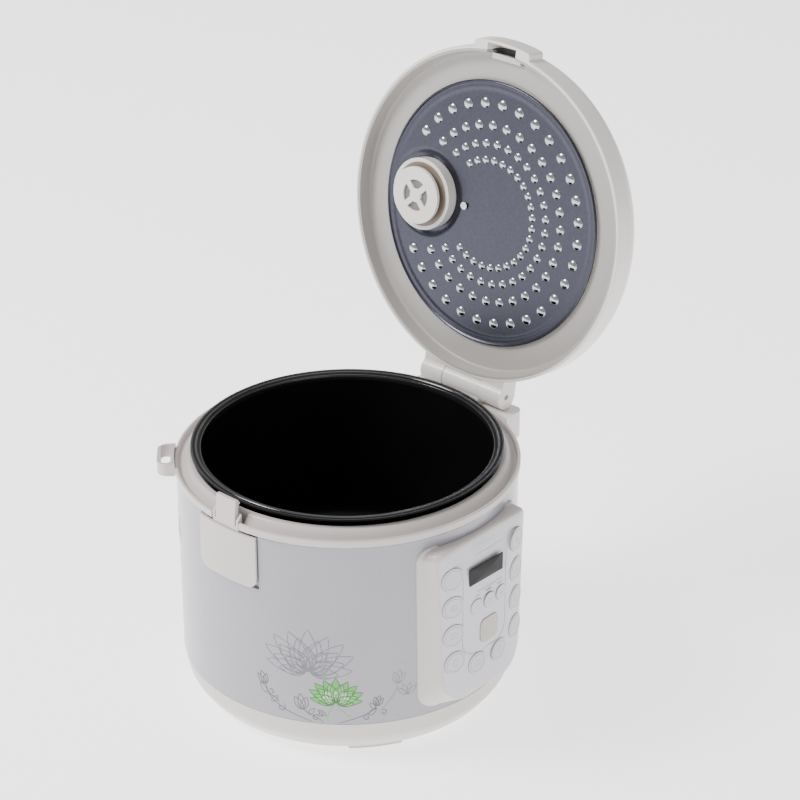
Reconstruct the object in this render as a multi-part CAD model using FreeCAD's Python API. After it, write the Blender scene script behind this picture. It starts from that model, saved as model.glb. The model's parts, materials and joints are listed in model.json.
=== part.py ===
import FreeCAD
import Part

import math
import os

os.makedirs("parts", exist_ok=True)

V = FreeCAD.Vector
DOWN = V(0, 0, -1)
UP = V(0, 0, 1)
ORIGIN = V(0, 0, 0)

# ---- overall sizes ------------------------------------------------------
BODY_R = 140.5
WALL = 2.2
GAP = 0.4
FEET_H = 5.5
SEAM_Z = 36.0
RIM_Z = 220.0
SHELL_TOP_Z = RIM_Z - 19.0
RING_TOP_Z = RIM_Z - 11.4
POT_R = BODY_R - 20.5
POT_RIM_R = POT_R + 9.0
POT_WALL = 1.6
POT_DEPTH = 148.0
POT_CORNER_R = 24.0
POT_LIFT_CLEAR = 0.4

# ---- base ---------------------------------------------------------------
BASE_FOOT_R = BODY_R - 12.5
BASE_BULGE_R = BODY_R - 3.5
BASE_BULGE_Z = SEAM_Z / 2
COVER_R = 62.0
COVER_T = 1.6
FOOT_COUNT = 4
FOOT_ANGLE = 53.0
FOOT_SPAN = 21.0
FOOT_IN_R = BASE_FOOT_R - 18.0
FOOT_OUT_R = BASE_FOOT_R - 6.0
SCREW_R = 3.0
SCREW_RING_R = BODY_R - 44.5
SCREW_POST_R = 4.6
VENT_COUNT = 5
VENT_W = 3.0
VENT_L = 60.0
VENT_PITCH = 12.0

# ---- top ring -----------------------------------------------------------
RING_LIP_R = BODY_R + 1.7
RING_GROOVE_R = RING_LIP_R - 4.2
RING_GROOVE_Z = RING_TOP_Z - 3.8
RING_CONE_R = POT_RIM_R + 2.0
RING_CONE_Z = RIM_Z - 7.0
RING_BORE_R = POT_R + 4.6

# ---- inner chamber and heater -------------------------------------------
CHAMBER_R = RING_BORE_R - 0.4
CHAMBER_WALL = 0.8
CHAMBER_FLOOR_Z = RIM_Z - POT_DEPTH - 22.0
NOTCH_HALF = 24.0
NOTCH_IN = 40.5
NOTCH_H = 40.0
HEATER_R = POT_R - 32.0
HEATER_T = 11.0
SENSOR_HOLE_R = 21.0
SENSOR_R = 17.0
SENSOR_T = 2.0
SENSOR_TRAVEL = 3.0
CUP_R = 19.6
COIL_WIRE_R = 0.7
ELEMENT_R = 62.0
ELEMENT_WIRE_R = 3.4
SUPPORT_COUNT = 3
SUPPORT_R = 72.0
SUPPORT_POST_R = 5.0
FUSE_R = 3.0
FUSE_L = 22.0
FUSE_Y = -84.0
FUSE_STRAP_T = 1.2

POWER_X0 = 34.0
POWER_X1 = 86.0
POWER_Y = 46.0
POST_H = 6.0
POST_R = 3.0
POST_INSET = 5.0
POWER_BLOCKS = ((40.0, 58.0, -36.0, -14.0, 15.0), (42.0, 54.0, 6.0, 34.0, 12.0),
                (66.0, 80.0, 12.0, 30.0, 8.0))
POWER_CANS = ((6.0, 74.0, -26.0, 18.0), (4.0, 64.0, -4.0, 12.0))

# ---- lid ----------------------------------------------------------------
LID_R = RING_LIP_R
LID_RIM_IN_R = LID_R - 4.8
LID_GAP = 0.7
LID_BAND_H = 22.0
LID_TOP_Z = RIM_Z + 35.0
LID_WALL = 2.6
LID_SHOULDER_R = LID_R - 18.2
LID_FLAT_R = LID_R - 54.2
LINER_Z = RIM_Z + 1.0
LINER_T = 2.0
PLATE_R = POT_R - 6.8
PLATE_T = 1.0
PLATE_DROP = 1.6
PLATE_SCREW_X = -27.0
VALVE_X = -69.0
VALVE_DISH_R = 36.0
VALVE_HOLE_R = 31.4
VALVE_FLANGE_R = 30.5
VALVE_NECK_R = 21.0
VALVE_SKIRT = 8.0
CAP_R = 24.5
CAP_DROP = 15.5
CAP_T = 3.0
CAP_HUB_R = 6.0
CAP_ARM_W = 5.0
VENT_X = -62.0
VENT_HOLE_R = 9.0
DIMPLE_D = 0.9
DIMPLE_ROWS = ((94.0, 27, 146.0, 3.75), (75.5, 26, 140.5, 3.4), (60.0, 25, 135.4, 3.0),
               (46.0, 23, 126.3, 2.75))
LID_SCREW_COUNT = 4
LID_SCREW_RING_R = PLATE_R + 11.8

# ---- hinge --------------------------------------------------------------
OPEN_DEG = 98.8
HINGE_Y = BODY_R + 9.8
HINGE_Z = RIM_Z - 3.8
HINGE_CLEAR = 0.05
PIN_R = 2.5
PIN_HALF = 42.0
KNUCKLE_R = 10.4
KNUCKLE_HALF = 20.0
EAR_R = 10.8
EAR_OUT = 44.0
SWEEP_CLEAR = 0.8
HOUSING_HALF = 54.0
HOUSING_Y = HINGE_Y + 11.7
HOUSING_TOP_Z = HINGE_Z - 12.2
HOUSING_LOW_Z = HOUSING_TOP_Z - 24.0
SPRING_R = 6.4
SPRING_WIRE_R = 0.9
SPRING_HALF = 12.0
SPRING_POCKET_R = 7.8

# ---- latch --------------------------------------------------------------
LATCH_HALF_DEG = 12.5
LATCH_LOW_Z = SHELL_TOP_Z - 47.0
LATCH_HIGH_Z = SHELL_TOP_Z - 0.8
LATCH_PROUD = 2.5
LATCH_T = 2.4
LATCH_PIN_Y = 9.0 - BODY_R
LATCH_PIN_Z = SHELL_TOP_Z - 14.0
LATCH_PIN_R = 1.5
LATCH_PIN_HALF = 20.0
LATCH_TOP_IN = 4.0
HOOK_HALF = 10.5
HOOK_BASE_HALF = 14.0
HOOK_TOP_Z = RIM_Z + 6.0
HOOK_OUT_Y = -BODY_R - 0.5
HOOK_IN_Y = 3.9 - BODY_R
HOOK_NOSE = 2.2
SLOT_HALF = 15.0
SLOT_OUT_Y = -BODY_R - 4.9
SLOT_IN_Y = 9.5 - BODY_R
SLOT_TOP_Z = HOOK_TOP_Z + 3.0
BOSS_HALF = 29.0
BOSS_OUT = LID_R + 5.8
KEEPER_Z = RIM_Z + 0.6
KEEPER_T = 3.6
KEEPER_HALF = 14.9
KEEPER_OUT_Y = HOOK_IN_Y + 0.8

# ---- control panel ------------------------------------------------------
POD_LOW_Z = SEAM_Z + 6.0
POD_HIGH_Z = SHELL_TOP_Z - 8.0
POD_HALF_DEG = 24.5
POD_FACE_HALF_DEG = 20.5
POD_FACE_R = BODY_R + 13.5
POD_WALL = 2.4
OVERLAY_T = 0.5
OVERLAY_LOW_Z = POD_LOW_Z + 7.0
OVERLAY_HIGH_Z = POD_HIGH_Z - 5.0
KEY_PROUD = 0.9
KEY_TRAVEL = 0.7
KEY_CLEAR = 0.35
KEY_BODY_T = 4.2
SWITCH_GAP = 0.35
SWITCH_SIDE = 6.0
SWITCH_H = 3.4
BOARD_T = 1.6
BOARD_X = BODY_R + 0.4
BOARD_Y_HALF = 44.0
BOARD_LOW_Z = POD_LOW_Z + 20.0
BOARD_HIGH_Z = POD_HIGH_Z - 13.0
DISPLAY_DEG = -1.1
DISPLAY_HALF_W = 20.0
DISPLAY_LOW_Z = POD_HIGH_Z - 40.4
DISPLAY_HIGH_Z = POD_HIGH_Z - 25.0
LENS_T = 1.2
SIDE_KEY_R = 10.2
LEFT_KEYS = ((-14.9, 27.5), (-14.5, 53.8), (-14.2, 80.2), (-13.6, 106.0))
RIGHT_KEYS = ((14.3, 24.0), (14.3, 51.5), (14.3, 79.0), (14.3, 106.0))
BOTTOM_KEY_DEG = 5.0
BOTTOM_KEY_Z = POD_HIGH_Z - 115.5
SMALL_KEY_DEG = 5.5
SMALL_KEY_R = 6.6
SMALL_KEY_Z = POD_HIGH_Z - 61.5
START_HALF_W = 10.5
START_HALF_H = 11.0
START_Z = POD_HIGH_Z - 88.0
BOTTOM_KEY_R = 9.6

# ---- scoop holder, inlet ------------------------------------------------
SCOOP_DEG = -45.0
SCOOP_HALF_W = 18.0
SCOOP_OUT = RING_LIP_R + 13.8
SCOOP_LOW_Z = SHELL_TOP_Z - 0.4
SCOOP_HIGH_Z = RING_TOP_Z + 2.9
SCOOP_WALL = 3.0
INLET_DEG = 180.0
INLET_Z = 62.0
INLET_HALF_W = 16.0
INLET_HALF_H = 12.0
INLET_DEPTH = 22.0
INLET_WALL = 2.0
INLET_FLANGE = 3.0
INLET_PIN_R = 2.0
INLET_PIN_PITCH = 7.0

FLOOR_T = 3.0
BIG = 400.0


def lathe(points):
    pts = [V(r, 0, z) for r, z in points]
    wire = Part.makePolygon(pts + [pts[0]])
    return Part.Face(wire).revolve(ORIGIN, UP, 360)


def rounded(points, round_at):
    pts = [V(r, 0, z) for r, z in points]
    edges = []
    n = len(pts)
    ends = {}
    for i, rad in round_at.items():
        a = (pts[i - 1] - pts[i]).normalize()
        b = (pts[(i + 1) % n] - pts[i]).normalize()
        half = a.getAngle(b) / 2
        t = rad / math.tan(half)
        mid = (a + b).normalize() * (rad / math.sin(half) - rad)
        ends[i] = (pts[i] + a * t, pts[i] + mid, pts[i] + b * t)
    for i in range(n):
        j = (i + 1) % n
        if i in ends:
            edges.append(Part.Arc(*ends[i]).toShape())
        start = ends[i][2] if i in ends else pts[i]
        stop = ends[j][0] if j in ends else pts[j]
        if start.distanceToPoint(stop) > 1e-6:
            edges.append(Part.makeLine(start, stop))
    wire = Part.Wire(Part.__sortEdges__(edges))
    return Part.Face(wire).revolve(ORIGIN, UP, 360)


def tube(r_out, r_in, z0, z1):
    return lathe([(r_in, z0), (r_out, z0), (r_out, z1), (r_in, z1)])


def disc(r, z0, z1, x=0.0, y=0.0):
    return Part.makeCylinder(r, z1 - z0, V(x, y, z0))


def box(x0, x1, y0, y1, z0, z1):
    return Part.makeBox(x1 - x0, y1 - y0, z1 - z0, V(x0, y0, z0))


def rod_x(r, x0, x1, y, z):
    return Part.makeCylinder(r, x1 - x0, V(x0, y, z), V(1, 0, 0))


def direction(deg):
    a = math.radians(deg)
    return V(math.sin(a), -math.cos(a), 0)


def wedge(deg0, deg1, z0, z1):
    pts = [V(0, 0, z0)]
    steps = max(2, int((deg1 - deg0) / 20.0) + 1)
    for i in range(steps + 1):
        pts.append(direction(deg0 + (deg1 - deg0) * i / steps) * BIG + V(0, 0, z0))
    face = Part.Face(Part.makePolygon(pts + [pts[0]]))
    return face.extrude(V(0, 0, z1 - z0))


def arc_block(r_in, r_out, deg0, deg1, z0, z1):
    return tube(r_out, r_in, z0, z1).common(wedge(deg0, deg1, z0, z1))


def turn(shape, deg):
    out = shape.copy()
    out.rotate(ORIGIN, UP, deg)
    return out


def cut(shape, *tools):
    out = shape
    for tool in tools:
        out = out.cut(tool)
    return out


def fuse(*shapes):
    out = shapes[0]
    for other in shapes[1:]:
        out = out.fuse(other)
    return out.removeSplitter()


def group(shapes):
    return Part.makeCompound(list(shapes))


def opened(shape):
    out = shape.copy()
    out.rotate(V(0, HINGE_Y, HINGE_Z), V(1, 0, 0), -OPEN_DEG)
    return out


def save(name, shape):
    if shape.ShapeType == "Compound" and len(shape.Solids) == 1:
        shape = shape.Solids[0]
    shape.exportStep("parts/" + name + ".step")


# ---- base ---------------------------------------------------------------
def screw_spots(count, ring_r, first):
    return [direction(first + i * 360.0 / count) * ring_r for i in range(count)]


def base_pan():
    outer = [(0, FEET_H), (BASE_FOOT_R, FEET_H), (BASE_BULGE_R, BASE_BULGE_Z), (BODY_R, SEAM_Z),
             (BODY_R - FLOOR_T, SEAM_Z), (BASE_BULGE_R - FLOOR_T, BASE_BULGE_Z + 1),
             (BASE_FOOT_R - FLOOR_T, FEET_H + FLOOR_T), (0, FEET_H + FLOOR_T)]
    shape = rounded(outer, {1: 5.0, 2: 20.0, 5: 15.0})
    tabs = tube(BODY_R - WALL - GAP, BODY_R - WALL - 2.4, SEAM_Z - 8, SEAM_Z + 5)
    collar = tube(BODY_R - 1.5, BODY_R - WALL - 2.4, SEAM_Z - 8, SEAM_Z - 1)
    shape = shape.fuse(tabs).fuse(collar)
    for spot in screw_spots(FOOT_COUNT, SCREW_RING_R, FOOT_ANGLE - 45):
        shape = shape.fuse(disc(SCREW_POST_R + 1.5, FEET_H, CHAMBER_FLOOR_Z - GAP, spot.x, spot.y))
    for spot in screw_spots(FOOT_COUNT, SCREW_RING_R, FOOT_ANGLE - 45):
        shape = shape.cut(disc(SCREW_R + GAP, FEET_H - 1, CHAMBER_FLOOR_Z, spot.x, spot.y))
    shape = cut(shape, disc(COVER_R + GAP, FEET_H - 1, FEET_H + COVER_T + GAP))
    shape = cut(shape, disc(COVER_R - 4, FEET_H - 1, FEET_H + FLOOR_T + 1))
    return cut(shape, inlet_hole())


def feet():
    pads = []
    for i in range(FOOT_COUNT):
        mid = FOOT_ANGLE + i * 360.0 / FOOT_COUNT
        pads.append(arc_block(FOOT_IN_R, FOOT_OUT_R, mid - FOOT_SPAN / 2, mid + FOOT_SPAN / 2,
                              0, FEET_H))
    return group(pads)


def bottom_cover():
    shape = disc(COVER_R, FEET_H, FEET_H + COVER_T)
    for i in range(VENT_COUNT):
        x = (i - (VENT_COUNT - 1) / 2.0) * VENT_PITCH
        shape = shape.cut(box(x - VENT_W / 2, x + VENT_W / 2, -VENT_L / 2, VENT_L / 2,
                              FEET_H - 1, FEET_H + COVER_T + 1))
    return shape


def bottom_screws():
    made = []
    for spot in screw_spots(FOOT_COUNT, SCREW_RING_R, FOOT_ANGLE - 45):
        made.append(disc(SCREW_R, FEET_H + 0.6, CHAMBER_FLOOR_Z - GAP, spot.x, spot.y))
    return group(made)


# ---- shell --------------------------------------------------------------
def inlet_hole():
    y = BODY_R * 2
    return box(-INLET_HALF_W - GAP, INLET_HALF_W + GAP, BODY_R - INLET_DEPTH, y,
               INLET_Z - INLET_HALF_H - GAP, INLET_Z + INLET_HALF_H + GAP)


def outer_shell():
    shape = tube(BODY_R, BODY_R - WALL, SEAM_Z + GAP, SHELL_TOP_Z)
    window = arc_block(BODY_R - 10, BODY_R + 10, 90 - POD_HALF_DEG + 3, 90 + POD_HALF_DEG - 3,
                       POD_LOW_Z + 8, POD_HIGH_Z - 8)
    door = arc_block(BODY_R - 10, BODY_R + 10, -LATCH_HALF_DEG - 0.4, LATCH_HALF_DEG + 0.4,
                     LATCH_LOW_Z - 1.2, SHELL_TOP_Z + 1)
    return cut(shape, window, door, inlet_hole())


def hinge_sweep():
    return rod_x(EAR_R + SWEEP_CLEAR, -EAR_OUT - 1, EAR_OUT + 1, HINGE_Y, HINGE_Z)


def latch_well():
    return box(-HOOK_BASE_HALF - 1.2, HOOK_BASE_HALF + 1.2, -BIG, -RING_BORE_R - 2.6,
               SHELL_TOP_Z - 20, RIM_Z)


def top_ring():
    low = SHELL_TOP_Z + 0.3
    shape = rounded([(RING_BORE_R, low - 16), (RING_BORE_R + 2, low - 16), (RING_BORE_R + 2, low - 2),
                     (BODY_R - WALL - GAP, low - 2), (BODY_R - WALL - GAP, low), (BODY_R, low),
                     (RING_LIP_R, low + 1.5), (RING_LIP_R, RING_TOP_Z),
                     (RING_GROOVE_R + 1.6, RING_TOP_Z), (RING_GROOVE_R + 0.8, RING_GROOVE_Z),
                     (RING_GROOVE_R - 1.2, RING_GROOVE_Z), (RING_CONE_R, RING_CONE_Z),
                     (RING_BORE_R + 2.5, RING_CONE_Z + 0.6), (RING_BORE_R, RING_CONE_Z - 1.5)],
                    {7: 1.2, 8: 0.9, 11: 3.0})
    shape = cut(shape, latch_well(), hinge_sweep())
    rear = box(-KNUCKLE_HALF - GAP, KNUCKLE_HALF + GAP, BODY_R - 6.5, BIG, low - 30, RIM_Z)
    seat = box(-HOUSING_HALF - GAP, HOUSING_HALF + GAP, BODY_R - 1.3, BIG, low - 30, HOUSING_TOP_Z + GAP)
    return cut(shape, rear, seat)


# ---- chamber and heater -------------------------------------------------
def inner_chamber():
    top = SHELL_TOP_Z - 16.5
    shape = rounded([(SENSOR_HOLE_R + 9, CHAMBER_FLOOR_Z), (CHAMBER_R + CHAMBER_WALL, CHAMBER_FLOOR_Z),
                     (CHAMBER_R + CHAMBER_WALL, top), (CHAMBER_R, top),
                     (CHAMBER_R, CHAMBER_FLOOR_Z + CHAMBER_WALL),
                     (SENSOR_HOLE_R + 9, CHAMBER_FLOOR_Z + CHAMBER_WALL)],
                    {1: 8.0, 4: 7.2})
    return cut(shape, box(-NOTCH_HALF, NOTCH_HALF, BODY_R - NOTCH_IN, BODY_R, CHAMBER_FLOOR_Z - 1,
                          CHAMBER_FLOOR_Z + NOTCH_H))


def pot_floor_z():
    return RIM_Z - POT_DEPTH - POT_WALL


def heating_plate():
    top = pot_floor_z() - GAP
    return rounded([(SENSOR_HOLE_R, top - HEATER_T), (HEATER_R - 6, top - HEATER_T), (HEATER_R, top - 5),
                    (HEATER_R, top), (SENSOR_HOLE_R, top)], {3: 1.5, 4: 0.8})


def heating_element():
    z = pot_floor_z() - GAP - HEATER_T - ELEMENT_WIRE_R
    loop = Part.makeTorus(ELEMENT_R, ELEMENT_WIRE_R, V(0, 0, z))
    gap = box(-12, 12, 0, BIG, z - 10, z + 10)
    leads = [Part.makeCylinder(ELEMENT_WIRE_R - 1.5, 22, V(x, 61, z), V(0, 1, 0)) for x in (-15, 15)]
    return fuse(loop.cut(gap), *leads)


def plate_supports():
    top = pot_floor_z() - GAP - HEATER_T
    made = []
    for spot in screw_spots(SUPPORT_COUNT, SUPPORT_R + 3.5, 0):
        made.append(disc(SUPPORT_POST_R - 1, CHAMBER_FLOOR_Z + CHAMBER_WALL, top, spot.x, spot.y))
    return group(made)


def sensor_rest_z():
    return pot_floor_z() - 0.4


def sensor_cap():
    top = sensor_rest_z()
    skirt = tube(SENSOR_R, SENSOR_R - 1.2, top - 6, top)
    shape = fuse(disc(SENSOR_R, top - SENSOR_T, top), skirt)
    return shape.makeFillet(0.8, [e for e in shape.Edges if abs(e.BoundBox.ZMin - top) < 1e-6])


def sensor_cup():
    z0 = CHAMBER_FLOOR_Z - 16
    shape = cut(disc(CUP_R, z0, sensor_rest_z() - 2.5), disc(CUP_R - 1.0, z0 + 1.2, BIG))
    flange = tube(SENSOR_HOLE_R + 12, CUP_R - 0.5, CHAMBER_FLOOR_Z - 1.4, CHAMBER_FLOOR_Z)
    return fuse(shape, flange)


def coil(radius, wire_r, z0, z1, turns):
    pitch = (z1 - z0 - 2 * wire_r) / turns
    helix = Part.makeHelix(pitch, pitch * turns, radius)
    circle = Part.Wire(Part.makeCircle(wire_r, V(radius, 0, 0), V(0, 1, 0)))
    shape = Part.Wire(helix.Edges).makePipeShell([circle], True, True)
    shape.translate(V(0, 0, z0 + wire_r))
    return shape


def sensor_spring():
    return coil(9.0, COIL_WIRE_R, CHAMBER_FLOOR_Z - 14.4, sensor_rest_z() - SENSOR_T - 0.1, 5)


def thermal_fuse():
    z = CHAMBER_FLOOR_Z - FUSE_R - FUSE_STRAP_T / 2
    barrel = Part.makeCylinder(FUSE_R, FUSE_L, V(-FUSE_L / 2, FUSE_Y, z), V(1, 0, 0))
    strap = box(-FUSE_R, FUSE_R, FUSE_Y - 2 * FUSE_R, FUSE_Y + 2 * FUSE_R,
                CHAMBER_FLOOR_Z - FUSE_STRAP_T, CHAMBER_FLOOR_Z - 0.05)
    return fuse(barrel, strap)


def power_board():
    z0 = FEET_H + FLOOR_T + POST_H
    return box(POWER_X0, POWER_X1, -POWER_Y, POWER_Y, z0, z0 + BOARD_T)


def board_posts():
    z0 = FEET_H + FLOOR_T
    xs = (POWER_X0 + POST_INSET, POWER_X1 - POST_INSET)
    ys = (-POWER_Y + POST_INSET, POWER_Y - POST_INSET)
    return group([disc(POST_R, z0, z0 + POST_H, x, y) for x in xs for y in ys])


def power_parts():
    z0 = FEET_H + FLOOR_T + POST_H + BOARD_T
    made = [box(x0, x1, y0, y1, z0, z0 + h) for x0, x1, y0, y1, h in POWER_BLOCKS]
    made += [disc(r, z0, z0 + h, x, y) for r, x, y, h in POWER_CANS]
    return group(made)


# ---- mains inlet --------------------------------------------------------
def mains_inlet():
    y1 = BODY_R + 1.0
    y0 = BODY_R - INLET_DEPTH + GAP
    w = INLET_HALF_W
    h = INLET_HALF_H
    shape = box(-w, w, y0, y1, INLET_Z - h, INLET_Z + h)
    lip = box(-w - INLET_FLANGE, w + INLET_FLANGE, BODY_R + 0.1, y1,
              INLET_Z - h - INLET_FLANGE, INLET_Z + h + INLET_FLANGE)
    shape = fuse(shape, lip)
    return cut(shape, box(-w + INLET_WALL, w - INLET_WALL, y0 + 3, y1 + 1,
                          INLET_Z - h + INLET_WALL, INLET_Z + h - INLET_WALL))


def inlet_pins():
    y0 = BODY_R - INLET_DEPTH - 4
    made = []
    for dx, dz in ((-INLET_PIN_PITCH, -2.0), (0, 3.0), (INLET_PIN_PITCH, -2.0)):
        made.append(Part.makeCylinder(INLET_PIN_R, INLET_DEPTH - 2, V(dx, y0, INLET_Z + dz), V(0, 1, 0)))
    return group(made)


def inlet_drilled():
    return cut(mains_inlet(), *inlet_pins().Solids)


# ---- pot ----------------------------------------------------------------
def inner_pot():
    bottom = pot_floor_z()
    r = POT_R
    t = POT_WALL
    return rounded([(0, bottom), (r + t, bottom), (r + t, RIM_Z - 3.2), (POT_RIM_R - 0.8, RIM_Z - 1.8),
                    (POT_RIM_R, RIM_Z - 1.0), (POT_RIM_R - 0.6, RIM_Z), (POT_RIM_R - 3.2, RIM_Z - 0.7),
                    (POT_RIM_R - 5.0, RIM_Z - 0.2), (POT_RIM_R - 7.2, RIM_Z - 0.9), (r, RIM_Z - 1.6),
                    (r, bottom + t), (0, bottom + t)],
                   {1: POT_CORNER_R + t, 10: POT_CORNER_R})


# ---- control panel ------------------------------------------------------
def pod_slab(low, high, half_deg, r_in, r_out, corner):
    shape = arc_block(r_in, r_out, 90 - half_deg, 90 + half_deg, low, high)
    edges = []
    for e in shape.Edges:
        b = e.BoundBox
        flat = b.ZLength < 1e-4
        if flat and min(b.XLength, b.YLength) < max(b.XLength, b.YLength) and e.Length < r_out - r_in + 1e-3:
            edges.append(e)
    return shape.makeFillet(corner, edges)


def panel_housing():
    core = pod_slab(POD_LOW_Z, POD_HIGH_Z, POD_HALF_DEG, BODY_R + 0.2, BODY_R + 7, 12.0)
    face = pod_slab(POD_LOW_Z + 3.5, POD_HIGH_Z - 2.5, POD_FACE_HALF_DEG + 1.5, BODY_R + 0.2, POD_FACE_R, 13.0)
    lip = pod_slab(POD_LOW_Z + 9, POD_HIGH_Z - 9, POD_HALF_DEG - 3.6, BODY_R - 8, BODY_R + 5, 8.0)
    body = fuse(core, face, lip)
    hollow = pod_slab(POD_LOW_Z + 11, POD_HIGH_Z - 11, POD_HALF_DEG - 4.8, BODY_R - 30, BODY_R + 4, 7.0)
    inner = pod_slab(POD_LOW_Z + 11, POD_HIGH_Z - 10, POD_FACE_HALF_DEG - 1.5, BODY_R - 30,
                     POD_FACE_R - POD_WALL, 7.0)
    body = cut(body, hollow, inner)
    recess = pod_slab(OVERLAY_LOW_Z, OVERLAY_HIGH_Z, POD_FACE_HALF_DEG - 0.5, POD_FACE_R - OVERLAY_T,
                      POD_FACE_R + 2, 12.0)
    body = cut(body, recess)
    for hole in key_holes():
        body = cut(body, hole)
    return cut(body, display_hole(0.0))


def display_hole(grow):
    mid = box(POD_FACE_R - 14, POD_FACE_R + 4, -DISPLAY_HALF_W - grow, DISPLAY_HALF_W + grow,
              DISPLAY_LOW_Z - grow, DISPLAY_HIGH_Z + grow)
    return turn(mid, DISPLAY_DEG)


def key_spots():
    spots = []
    for side, column in (("left", LEFT_KEYS), ("right", RIGHT_KEYS)):
        for i, (deg, drop) in enumerate(column):
            spots.append(("key_%s_%d" % (side, i + 1), deg, POD_HIGH_Z - drop, SIDE_KEY_R, 0.0))
    for i, deg in enumerate((-BOTTOM_KEY_DEG, BOTTOM_KEY_DEG)):
        spots.append(("key_bottom_%d" % (i + 1), deg, BOTTOM_KEY_Z, BOTTOM_KEY_R, 0.0))
    for i, deg in enumerate((-SMALL_KEY_DEG, 0.0, SMALL_KEY_DEG)):
        spots.append(("key_small_%d" % (i + 1), deg, SMALL_KEY_Z, SMALL_KEY_R, 0.0))
    spots.append(("key_start", 0.0, START_Z, START_HALF_W, START_HALF_H))
    return spots


def key_prism(deg, z, r, half_h, grow, x0, x1):
    if half_h > 0:
        shape = box(x0, x1, -r - grow, r + grow, z - half_h - grow, z + half_h + grow)
        long_edges = [e for e in shape.Edges if e.BoundBox.XLength > 0.5 and e.BoundBox.YLength < 1e-6
                      and e.BoundBox.ZLength < 1e-6]
        shape = shape.makeFillet(6.0, long_edges)
    else:
        shape = Part.makeCylinder(r + grow, x1 - x0, V(x0, 0, z), V(1, 0, 0))
    return turn(shape, deg)


def key_holes():
    return [key_prism(deg, z, r, h, KEY_CLEAR, POD_FACE_R - 12, POD_FACE_R + 6)
            for _, deg, z, r, h in key_spots()]


def key_shape(deg, z, r, half_h):
    blank = key_prism(deg, z, r, half_h, 0.0, POD_FACE_R - KEY_BODY_T - 2, POD_FACE_R + 6)
    skin = tube(POD_FACE_R + KEY_PROUD, POD_FACE_R - KEY_BODY_T, z - 30, z + 30)
    return blank.common(skin)


def panel_overlay():
    shape = pod_slab(OVERLAY_LOW_Z + 0.2, OVERLAY_HIGH_Z - 0.2, POD_FACE_HALF_DEG - 0.6,
                     POD_FACE_R - OVERLAY_T + 0.02, POD_FACE_R + 0.1, 12.0)
    for hole in key_holes():
        shape = cut(shape, hole)
    return cut(shape, display_hole(0.3))


def display_lens():
    block = turn(box(POD_FACE_R - 8, POD_FACE_R + 4, -DISPLAY_HALF_W + 0.05, DISPLAY_HALF_W - 0.05,
                     DISPLAY_LOW_Z + 0.05, DISPLAY_HIGH_Z - 0.05), DISPLAY_DEG)
    return block.common(tube(POD_FACE_R - 0.1, POD_FACE_R - 0.1 - LENS_T, DISPLAY_LOW_Z, DISPLAY_HIGH_Z))


def display_module():
    x0 = BOARD_X + BOARD_T / 2
    return turn(box(x0, x0 + 6.0, -DISPLAY_HALF_W + 1, DISPLAY_HALF_W - 1, DISPLAY_LOW_Z + 1,
                    DISPLAY_HIGH_Z - 1), DISPLAY_DEG)


def control_board():
    side = 12.0
    return box(BOARD_X - BOARD_T / 2 - side, BOARD_X + BOARD_T / 2 - side, -BOARD_Y_HALF + 2,
               BOARD_Y_HALF - 2, BOARD_LOW_Z, BOARD_HIGH_Z)


def board_spacers():
    made = []
    for y in (-BOARD_Y_HALF + 5, BOARD_Y_HALF - 5):
        for z in (BOARD_LOW_Z + 4, BOARD_HIGH_Z - 4):
            made.append(Part.makeCylinder(2.0, 3.0, V(BOARD_X + BOARD_T / 2 - 12.0, y, z), V(1, 0, 0)))
    return group(made)


def tact_switches():
    made = []
    face = BOARD_X + BOARD_T / 2 - 12.0
    for _, deg, z, _, _ in key_spots():
        back = POD_FACE_R - KEY_BODY_T - KEY_TRAVEL - SWITCH_GAP
        post = box(face - 2, back + 3, -SWITCH_SIDE / 2, SWITCH_SIDE / 2, z - SWITCH_SIDE / 2,
                   z + SWITCH_SIDE / 2)
        post = turn(post, deg).common(disc(back, z - 20, z + 20))
        made.append(post.common(box(face, BIG, -BIG, BIG, z - 20, z + 20)))
    return group(made)


# ---- scoop holder -------------------------------------------------------
def scoop_holder():
    w = SCOOP_HALF_W
    outer = box(-w, w, -SCOOP_OUT, -BODY_R + 2, SCOOP_LOW_Z, SCOOP_HIGH_Z)
    upright = [e for e in outer.Edges if e.BoundBox.ZLength > 1 and e.BoundBox.YMin < -SCOOP_OUT + 1]
    outer = outer.makeFillet(9.0, upright)
    slot = box(-w + SCOOP_WALL, w - SCOOP_WALL, -SCOOP_OUT + SCOOP_WALL, -RING_LIP_R - 2.6,
               SCOOP_LOW_Z - 1, SCOOP_HIGH_Z + 1)
    near = [e for e in slot.Edges if e.BoundBox.ZLength > 1]
    slot = slot.makeFillet(3.5, near)
    shape = turn(outer.cut(slot), SCOOP_DEG)
    return cut(shape, disc(RING_LIP_R + 0.1, SCOOP_LOW_Z - 1, SCOOP_HIGH_Z + 1))


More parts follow.
